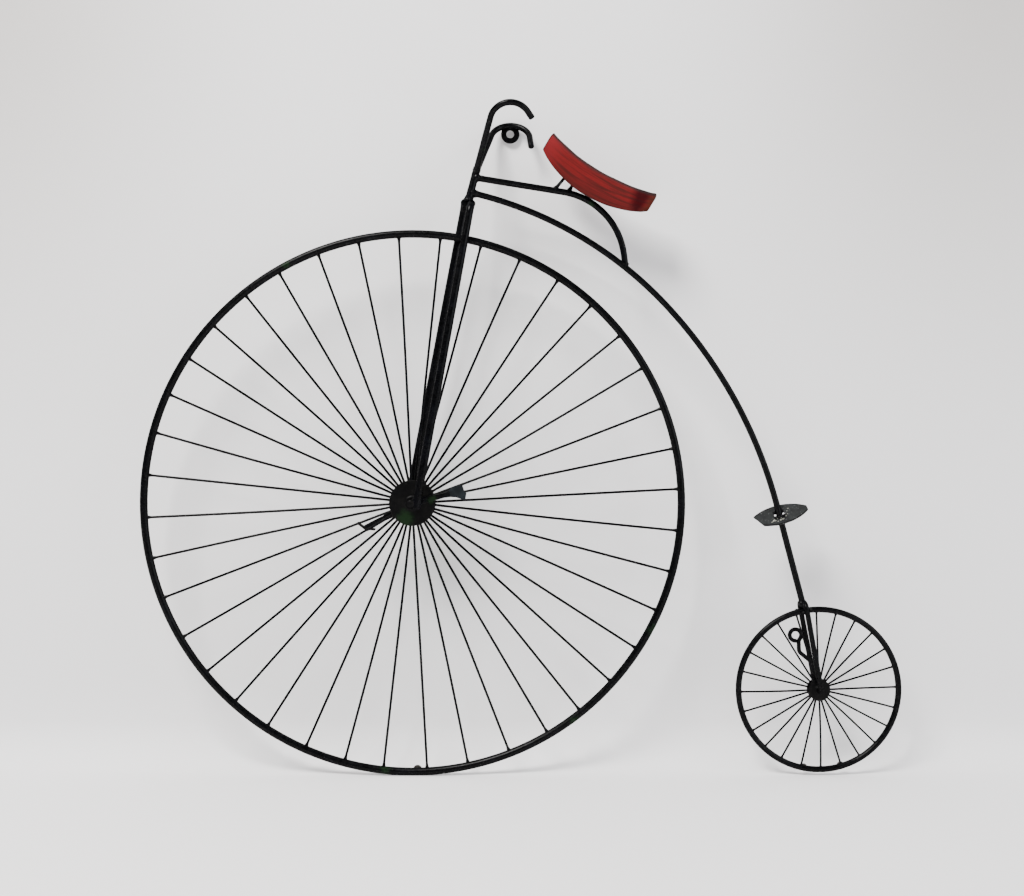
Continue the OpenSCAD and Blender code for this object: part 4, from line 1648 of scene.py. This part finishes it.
@dataclass
class Saddle:
    """The dished, arched sheet, and the two wires it stands on."""

    layout: Layout
    rods: BentRods
    chord_root: float = 24.5
    chord_out: tuple[float, float, float] = (144.4, 0.0, 15.5)
    length: float = 133.0
    width: float = 36.0
    sheet: float = 1.6
    dip: float = 9.7
    end_depth: float = 22.0
    mid_depth: float = 31.0
    slope: float = 30.4
    roll: float = 12.0
    corner: float = 2.6
    rows: int = 100
    strut: float = 3.0
    feet: tuple[float, float] = (88.5, 104.3)
    tops: tuple[float, float] = (-26.5, -20.5)

    def __post_init__(self) -> None:
        """Works out the top and under curves."""
        half = self.length / 2
        self.top_r = (half**2 + self.dip**2) / (2 * self.dip)
        self.rise = self.top_r - self.dip
        self.sag = self.dip + self.mid_depth - self.end_depth
        self.under_r = (half**2 + self.sag**2) / (2 * self.sag)
        self.chord = self.layout.on_head(self.chord_root) + Vector(self.chord_out)
        turned = turn_about("Y", self.slope) @ turn_about("X", self.roll) @ UPRIGHT
        self.place = move(*self.chord) @ turned

    def skin(self) -> bpy.types.Mesh:
        """Draws the outer face, with U along the saddle and V across it.

        Returns:
            The mesh.
        """
        half_w = self.width / 2
        arch_r = self.top_r + half_w
        turns = steps(-90.0, 90.0, 5.0)
        drops = steps(0.0, 1.0, 0.07)
        work = bmesh.new()
        uv = work.loops.layers.uv.new("sheet")
        grid: list[list[bmesh.types.BMVert]] = []
        marks: dict[bmesh.types.BMVert, tuple[float, float]] = {}
        for row_at in range(self.rows + 1):
            x = self.length * (row_at / self.rows - 0.5)
            side_y = self.rise - math.sqrt(arch_r**2 - x * x)
            under_y = self.under_r - self.sag - self.end_depth - math.sqrt(self.under_r**2 - x * x)
            column = [(under_y + (side_y - under_y) * t, -half_w) for t in drops]
            for angle in turns[1:-1]:
                turn = math.radians(angle)
                reach = arch_r - half_w * math.cos(turn)
                column.append((self.rise - math.sqrt(reach**2 - x * x), half_w * math.sin(turn)))
            column += [(side_y + (under_y - side_y) * t, half_w) for t in drops]
            row = []
            for k, (y, z) in enumerate(column):
                wave = 0.35 * math.sin(x * 0.071 + z * 0.05) + 0.2 * math.sin(x * 0.19 + k * 0.31)
                across = abs(2 * k / (len(column) - 1) - 1)
                crest, hem = max(0.0, 1 - across / 0.24), max(0.0, (across - 0.7) / 0.3)
                trim = self.corner * (crest**2 + 0.5 * hem**2)
                pull = trim * max(0.0, abs(x) / (self.length / 2) - 0.9) / 0.1 * (1.0 if x > 0 else 0.4)
                spot = self.place @ Vector((x - math.copysign(pull, x), y + wave * 0.6, z)) * MM
                vert = work.verts.new(spot)
                marks[vert] = (x / self.length + 0.5, k / (len(column) - 1))
                row.append(vert)
            grid.append(row)
        for one, two in zip(grid, grid[1:]):
            for k in range(len(one) - 1):
                face = work.faces.new((one[k], one[k + 1], two[k + 1], two[k]))
                face.smooth = True
                for loop in face.loops:
                    loop[uv].uv = marks[loop.vert]
        return mesh_from(work, "saddle_skin")

    def build(self) -> None:
        """Makes and dresses the sheet and its struts."""
        mesh = self.skin()
        mesh.materials.append(ENAMEL.material())
        mesh.materials.append(SADDLE_EDGE.material())
        holder = link(mesh, "saddle_skin")
        up = (self.place.to_3x3() @ Vector((0.0, 1.0, 0.0))).normalized()
        if max(mesh.polygons, key=lambda face: up.dot(face.center)).normal.dot(up) < 0:
            mesh.flip_normals()
        solid = holder.modifiers.new("thick", "SOLIDIFY")
        solid.thickness = self.sheet * MM
        solid.offset = -1.0
        solid.material_offset = 1
        solid.material_offset_rim = 1
        bevel = holder.modifiers.new("edge", "BEVEL")
        bevel.width = 0.35 * MM
        bevel.segments = 2
        bevel.limit_method = "ANGLE"
        bevel.angle_limit = math.radians(50)
        piece = settle(holder, "saddle_sheet")
        give(piece, "saddle", slot=Slot.RED)
        for k, label in enumerate(("front", "rear")):
            wire = self.strut_line(self.feet[k], self.tops[k])
            made = rod(f"saddle_strut_{label}_wire", wire, self.strut, PAINT_FRAME, 21.0 + k, 20, 0.05)
            give(made, f"saddle_strut_{label}")

    def strut_ends(self, foot: float, top: float) -> tuple[Vector, Vector]:
        """A strut's two ends: on the seat rod and under the sheet.

        Args:
            foot: its foot's distance along the seat rod.
            top: its top's distance along the chord.

        Returns:
            The foot and the top, in millimetres.
        """
        start = self.rods.on_seat_rod(foot)
        tilt = math.radians(self.slope)
        ahead = Vector((math.cos(tilt), 0.0, -math.sin(tilt)))
        above = Vector((math.sin(tilt), 0.0, math.cos(tilt)))
        depth = self.rise - math.sqrt(self.top_r**2 - top * top) - self.sheet / 2
        return start, self.chord + top * ahead + depth * above

    def strut_line(self, foot: float, top: float) -> Line:
        """A strut's middle line, flared like a cone at its foot.

        Args:
            foot: its foot's distance along the seat rod.
            top: its top's distance along the chord.

        Returns:
            The line.
        """
        start, end = self.strut_ends(foot, top)
        points, thickness = [], []
        for share in steps(0.0, 1.0, 0.05):
            points.append((start + (end - start) * share) * MM)
            run = (end - start).length * share
            thickness.append(1.0 + 1.3 * max(0.0, 1.0 - run / 9.0) ** 2)
        return Line(points, thickness)


@dataclass
class PlateWork:
    """The cut plates: the step, the cranks and the pedals."""

    layout: Layout
    step_thick: float = 2.0
    step_long: float = 60.0
    step_wide: float = 27.0
    drops: tuple[tuple[float, float, float], ...] = (
        (-9.0, -7.4, 1.1),
        (-11.0, -8.6, 0.8),
        (-7.2, -7.9, 0.8),
        (-1.6, -8.4, 1.0),
        (1.4, -7.6, 0.9),
        (0.4, -5.6, 0.9),
        (5.6, -4.6, 1.1),
        (3.8, -4.4, 1.0),
        (-3.6, -5.2, 1.0),
        (11.0, 4.6, 0.7),
        (9.2, 1.8, 0.6),
        (8.4, -2.2, 0.7),
        (-5.0, -9.4, 0.6),
    )

    def on_step(self) -> Matrix:
        """The step's own place, with X along the plate and Z square to it.

        Returns:
            The place, in millimetres.
        """
        plan = self.layout
        at = plan.reach(plan.rear_crown, plan.backbone_heading, -plan.step_up)
        return move(*at) @ turn_about("Y", -90 - plan.backbone_heading) @ turn_about("X", STEP_TILT)

    def step(self) -> None:
        """Makes the step plate, with painted shade along its two curved sides."""
        side_r = ((self.step_long / 2 + 6) ** 2 + (self.step_wide / 2) ** 2) / self.step_wide
        out = side_r - self.step_wide / 2
        centres = [self.on_step() @ Vector((0.0, hand * out, 0.0)) * MM for hand in (-1, 1)]
        arcs = tuple(tuple(centre) for centre in centres)
        # The arcs place the painted shade along the plate's curved sides.
        steel = GreySteel("step_steel", arcs=arcs, arc_reach=side_r * MM, bright=0.8)
        give(worn("step_plate", steel, 31.0, 0.4, 0.35), "step_plate", slot=Slot.GREY)

    def spatter(self) -> None:
        """Scatters bright weld drops on the step round its hole."""
        place = self.on_step()
        lines = []
        for x, y, size in self.drops:
            start = place @ Vector((x, y, self.step_thick / 2 + 0.1)) * MM
            end = place @ Vector((x + 1.1, y + 0.5, self.step_thick / 2 + 0.1)) * MM
            lines.append(Line([start, end], [size, size * 0.8]))
        give(beads("step_weld_spatter", lines, SPATTER, 42, 0.3), slot=Slot.GREY)

    def build(self) -> None:
        """Makes and dresses the plates."""
        self.spatter()
        self.step()
        for node, slot, settings in (
            ("crank_near", Slot.BLACK, (PAINT_CRANK, 32.0, 0.35, 0.25)),
            ("crank_far", Slot.BLACK, (PAINT_CRANK, 33.0, 0.35, 0.25, 4, 0.4)),
            ("pedal_near", Slot.GREY, (PEDAL_STEEL, 34.0, 0.3, 0.2, 3)),
            # The far pedal takes a darker copy of the pedal steel: painted shade.
            ("pedal_far", Slot.GREY, (PEDAL_SHADED_STEEL, 35.0, 0.3, 0.2, 3, 0.5)),
        ):
            give(worn(node, *settings), node, body=Body.FRONT, slot=slot)


@dataclass
class FrameWelds:
    """Every weld of the frame: rings of drops round each joint, and webs at the head."""

    layout: Layout
    rods: BentRods
    seat: Saddle

    def ring(self, centre: Vector, axis: Vector, radius: float, drop: float, count: int = 14) -> Line:
        """A seam of drops round a rod.

        Args:
            centre: the ring's middle, in millimetres.
            axis: the rod's direction.
            radius: the ring's radius, in millimetres.
            drop: the drops' radius, in millimetres.
            count: how many points the seam has.

        Returns:
            The seam's line.
        """
        one = axis.orthogonal().normalized()
        two = axis.normalized().cross(one)
        return Line(circle(centre, one, two, radius, count), [drop] * count, True)

    def web(self, start: Vector, end: Vector, thick: float, thin: float) -> Line:
        """A fillet that thins out along a rod, hollow in outline.

        Args:
            start: the thick end.
            end: the thin end.
            thick: the radius at the start.
            thin: the radius at the end.

        Returns:
            The fillet's line.
        """
        shares = steps(0.0, 1.0, 0.1)
        points = [(start + (end - start) * t) * MM for t in shares]
        return Line(points, [thin + (thick - thin) * (1 - t) ** 2 for t in shares])

    def at_head(self) -> list[Line]:
        """The seams at the crown, bars, backbone and seat rod.

        Returns:
            The seams' lines.
        """
        plan, rods = self.layout, self.rods
        up = plan.on_head(10) - plan.crown
        side = Vector((0.0, 1.0, 0.0))
        lines = [self.ring(plan.on_head(-1.0), up, 4.2, 1.6), self.ring(plan.on_head(1.6), up, 3.9, 1.1)]
        for start, heading, radius in (
            (rods.backbone_start, rods.backbone_start_heading, plan.backbone / 2),
            (rods.seat_start, rods.seat_heading, rods.seat_rod / 2),
        ):
            root, out = in_plane(start), in_plane(heading_of(heading))
            lines.append(self.web(root + out * 2.0, root + out * 12.0, radius + 1.3, radius - 0.5))
            lines.append(self.ring(root + out * 4.2, out, radius + 0.2, 1.0))
        for hand in Side:
            root = rods.bar_root + side * hand.value * rods.bar_side
            turned = turn_about("X", -hand.value * rods.bar_splay) @ UPRIGHT
            lean = math.radians(90 - rods.bar_lean)
            out = turned @ Vector((math.cos(lean), math.sin(lean), 0.0))
            lines.append(self.web(root - out * 1.0, root + out * 8.0, rods.bar / 2 + 1.0, rods.bar / 2 - 0.6))
            lines.append(self.ring(root + out * 1.5, out, rods.bar / 2 + 0.2, 1.0))
        spot = middle("hanging_washer")
        top = Vector((spot.x, rods.bar_top_y + 1.4, spot.z))
        for shift in (-5.0, 5.0):
            start, end = top + Vector((shift, 0, 8.4)), top + Vector((shift * 1.3, 0, 7.4))
            lines.append(self.web(start, end, 1.3, 0.9))
        return lines

    def at_feet(self) -> list[Line]:
        """The seams at the axles, the rear crown, the step, the seat rod's foot and the struts.

        Returns:
            The seams' lines.
        """
        plan, rods = self.layout, self.rods
        side = Vector((0.0, 1.0, 0.0))
        lines = []
        for hand in Side:
            foot = plan.hub + Vector((-hand.value * 3.4, hand.value * plan.leg_y, 1.0))
            lines.append(self.ring(foot, side, 3.6, 1.1))
            rear = plan.rear_hub + Vector((0.0, hand.value * plan.rear_leg_y, 1.2))
            lines.append(self.ring(rear, side, 2.4, 0.8))
        tail = in_plane(heading_of(plan.backbone_heading))
        for gap, radius, drop in ((-0.5, 3.0, 1.5), (1.6, 2.6, 1.9)):
            lines.append(self.ring(plan.rear_crown + tail * gap, tail, radius, drop))
        lines.append(self.web(plan.rear_crown - tail * 0.5, plan.rear_crown + tail * 3.8, 3.4, 2.8))
        step = plan.reach(plan.rear_crown, plan.backbone_heading, -plan.step_up)
        for hand in Side:
            tilt = turn_about("Y", -90 - plan.backbone_heading) @ turn_about("X", STEP_TILT)
            lean = tilt @ Vector((0.0, 4.1 if hand is Side.FAR else -3.5, 0.0))
            edge = tilt @ Vector((4.6, 0.0, 0.0))
            lines.append(self.web(step + lean - edge, step + lean, 2.1, 2.3))
            lines.append(self.web(step + lean + edge, step + lean, 2.1, 2.3))
        end, out = in_plane(rods.seat_end), in_plane(heading_of(rods.seat_end_heading))
        lines.append(self.web(end - out * 2.0, end - out * 9.0, 4.1, 2.5))
        lines.append(self.ring(end - out * 3.4, out, 3.6, 1.1))
        for foot, top in zip(self.seat.feet, self.seat.tops):
            spot, end = self.seat.strut_ends(foot, top)
            rise = (end - spot).normalized()
            lines.append(self.web(spot + rise * 2.6, spot + rise * 7.5, 2.5, 1.2))
        for hand in Side:
            leg = plan.reach(plan.rear_hub, plan.rear_heading, plan.rear_reach - 9.0)
            leg += Vector((-hand.value * plan.rear_leg * 0.25, hand.value * plan.rear_crown_y, 0.0))
            for shift, drop in ((-3.6, 1.9), (4.0, 2.1)):
                lump = leg + Vector((shift, 0.0, 0.3 * shift + 0.6))
                lines.append(self.web(lump, lump + Vector((shift * 0.35, 0.0, 0.4)), drop, 1.1))
        return lines

    def build(self) -> None:
        """Makes and dresses the welds."""
        piece = beads("frame_weld_drops", self.at_head() + self.at_feet(), PAINT_WELD, 41)
        give(piece, "frame_welds")


@dataclass
class Studio:
    """Floor, wall, soft lights and camera."""

    wall_y: float = 0.0545
    sweep: float = 0.048
    eye: tuple[float, float, float] = (-0.0095, -1.350, 0.36025)
    lens: float = 43.1

    def backdrop(self) -> bpy.types.Material:
        """Pale plaster with painted shade towards its top corners, that can be seen through from behind.

        Returns:
            The material.
        """
        made, graph = blank_material("pale_plaster")
        here = graph.add("ShaderNodeTexCoord").outputs["Object"]
        cloud = graph.noise(here, 1.6, 2.0)
        colour = graph.blend(cloud, (0.75, 0.74, 0.735, 1.0), (0.83, 0.825, 0.835, 1.0))
        split = graph.add("ShaderNodeSeparateXYZ", {0: here})
        # Painted shade: the wall darkens towards its top corners.
        aside = graph.math("ABSOLUTE", graph.plus(split.outputs["X"], 0.05))
        shade = graph.times(graph.spread(split.outputs["Z"], 0.25, 0.95), graph.spread(aside, 0.15, 0.6))
        colour = graph.blend(graph.times(shade, 0.75), colour, (0.40, 0.375, 0.35, 1.0))
        foot = graph.spread(split.outputs["Z"], 0.0, 0.1, 0.6, 0.0)
        colour = graph.blend(foot, colour, (0.93, 0.92, 0.92, 1.0))
        wall = graph.add("ShaderNodeBsdfDiffuse", {"Color": colour})
        clear = graph.add("ShaderNodeBsdfTransparent")
        behind = graph.add("ShaderNodeNewGeometry").outputs["Backfacing"]
        both = graph.add("ShaderNodeMixShader", {0: behind, 1: wall, 2: clear})
        graph.add("ShaderNodeOutputMaterial", {"Surface": both})
        return made

    def sheet(self, name: str, outline: Sequence[tuple[float, float]], material: bpy.types.Material) -> None:
        """Stretches a wide sheet along an outline of depths and heights.

        Args:
            name: the stage piece's name.
            outline: the sheet's points, each a Y and a height.
            material: its material.
        """
        half = 6.0
        mesh = bpy.data.meshes.new(name)
        points = [Vector((x, y, z)) for y, z in outline for x in (-half, half)]
        faces = [(2 * k, 2 * k + 1, 2 * k + 3, 2 * k + 2) for k in range(len(outline) - 1)]
        mesh.from_pydata(points, [], faces)
        mesh.materials.append(material)
        for face in mesh.polygons:
            face.use_smooth = True
        link(mesh, name)

    def lamp(self, name: str, spot: Vector, aim: Vector, size: float, power: float, colour: Colour) -> None:
        """One soft square light aimed at a point.

        Args:
            name: the light's name.
            spot: where it stands, in metres.
            aim: the point it faces.
            size: its side, in metres.
            power: its power, in watts.
            colour: its colour.
        """
        data = bpy.data.lights.new(name, "AREA")
        data.shape = "SQUARE"
        data.size = size
        data.energy = power
        data.color = colour
        lamp = bpy.data.objects.new(name, data)
        lamp.location = spot
        lamp.rotation_euler = (aim - spot).to_track_quat("-Z", "Y").to_euler()
        bpy.context.scene.collection.objects.link(lamp)

    def build(self) -> None:
        """Sets the stage."""
        plaster = self.backdrop()
        bend = self.sweep
        outline = [(-6.0, 0.0)]
        for angle in steps(0.0, math.pi / 2, 0.08):
            outline.append((self.wall_y - bend + bend * math.sin(angle), bend - bend * math.cos(angle)))
        outline.append((self.wall_y, 6.0))
        self.sheet("floor_and_wall", outline, plaster)
        world = bpy.data.worlds.new("soft_room")
        world.use_nodes = True
        world.node_tree.nodes["Background"].inputs["Color"].default_value = (0.95, 0.96, 1.0, 1.0)
        world.node_tree.nodes["Background"].inputs["Strength"].default_value = 0.46
        bpy.context.scene.world = world
        middle_spot = Vector((0.0, 0.0, 0.4))
        self.lamp("key", Vector((-1.1, -1.5, 2.5)), middle_spot, 1.0, 165.0, (1.0, 0.985, 0.965))
        self.lamp("fill", Vector((2.2, -1.5, 1.1)), middle_spot, 1.6, 46.0, (0.94, 0.96, 1.0))
        eye = bpy.data.cameras.new("eye")
        eye.lens = self.lens
        eye.sensor_width = 36.0
        camera = bpy.data.objects.new("eye", eye)
        camera.location = self.eye
        camera.rotation_euler = (math.radians(90), 0.0, 0.0)
        bpy.context.scene.collection.objects.link(camera)
        bpy.context.scene.camera = camera


def spots(*places: tuple[float, float, float, float]) -> tuple[tuple[Colour, float], ...]:
    """Green spots, each an X, Y, Z and radius in millimetres."""
    return tuple(((x * MM, y * MM, z * MM), r * MM) for x, y, z, r in places)


PAINT_FRAME = BlackPaint("satin_black", spots=spots((-37, -14, 688, 9), (78, 0, 628, 7)))
PAINT_HEAD = BlackPaint("satin_black_head", coarse=1.2)
PAINT_RIM = BlackPaint(
    "satin_black_rim",
    spots=spots((-259, 0, 564, 9), (-408, 0, 407, 10), (148, 0, 158, 12), (60, 0, 59, 10), (-149, 0, 8, 9)),
)
PAINT_REAR = BlackPaint("satin_black_rear", worn=(0.0012, 0.0013, 0.002))
PAINT_SPOKE = BlackPaint("satin_black_spokes", spots=spots((-92, 0, 440, 8)), coarse=0.3)
PAINT_HUB = BlackPaint(
    "satin_black_hub",
    worn=(0.0042, 0.0040, 0.0036),
    rough=(0.30, 0.5),
    spots=spots((-126, -9.5, 283, 12), (-98, -9.5, 303, 5)),
    coarse=1.4,
)
PAINT_CRANK = BlackPaint("satin_black_crank", spots=spots((-96, -11, 303, 7)), coarse=1.2)
PAINT_WELD = BlackPaint("satin_black_weld", worn=(0.0026, 0.0027, 0.0036), coarse=1.3)
ENAMEL = RedEnamel("red_enamel")
SADDLE_EDGE = RustyRed("saddle_edge")
PEDAL_STEEL = GreySteel("pedal_steel", face=(0.0105, 0.0135, 0.016), shade=(0.0042, 0.0056, 0.007))
# A darker copy of the pedal steel for the far pedal: painted shade.
PEDAL_SHADED_STEEL = GreySteel("pedal_steel_painted_shade", face=(0.006, 0.006, 0.005), shade=(0.002, 0.002, 0.002))
SPATTER = GreySteel("bright_spatter", face=(0.30, 0.30, 0.26), shade=(0.10, 0.10, 0.085), bright=1.0)
RUBBER = Rubber("brown_rubber")


def main() -> None:
    """Builds every assembly in order and sets the stage."""
    logging.basicConfig(level=logging.INFO, format="%(name)s %(message)s")
    layout = Layout()
    rods = BentRods(layout)
    rods.build()
    Forks(layout).build()
    seat = Saddle(layout, rods)
    seat.build()
    PlateWork(layout).build()
    FrameWelds(layout, rods, seat).build()
    front = Wheel(
        "front", Body.FRONT, spokes=40, phase=3.07, spoke=2.4, disc_gap=14.0, root_in=10.0, flare=5.0, seed=51
    )
    front.build()
    rear = Wheel(
        "rear", Body.REAR, spokes=24, phase=1.77, spoke=1.7, disc_gap=6.0, root_in=5.0, flare=3.0, seed=61
    )
    rear.build()
    front.stop("front_bumper_pad", "front_bumper", [middle("front_bumper")], 10.0, layout.bumper)
    pads = [layout.reach(layout.rear_hub, angle, rear.rim_r) for angle in REAR_BUMPER_ANGLES]
    rear.stop("rear_bumper_pads", "rear_bumpers", pads, 8.0, layout.bumper)
    Studio().build()


if __name__ == "__main__":
    main()
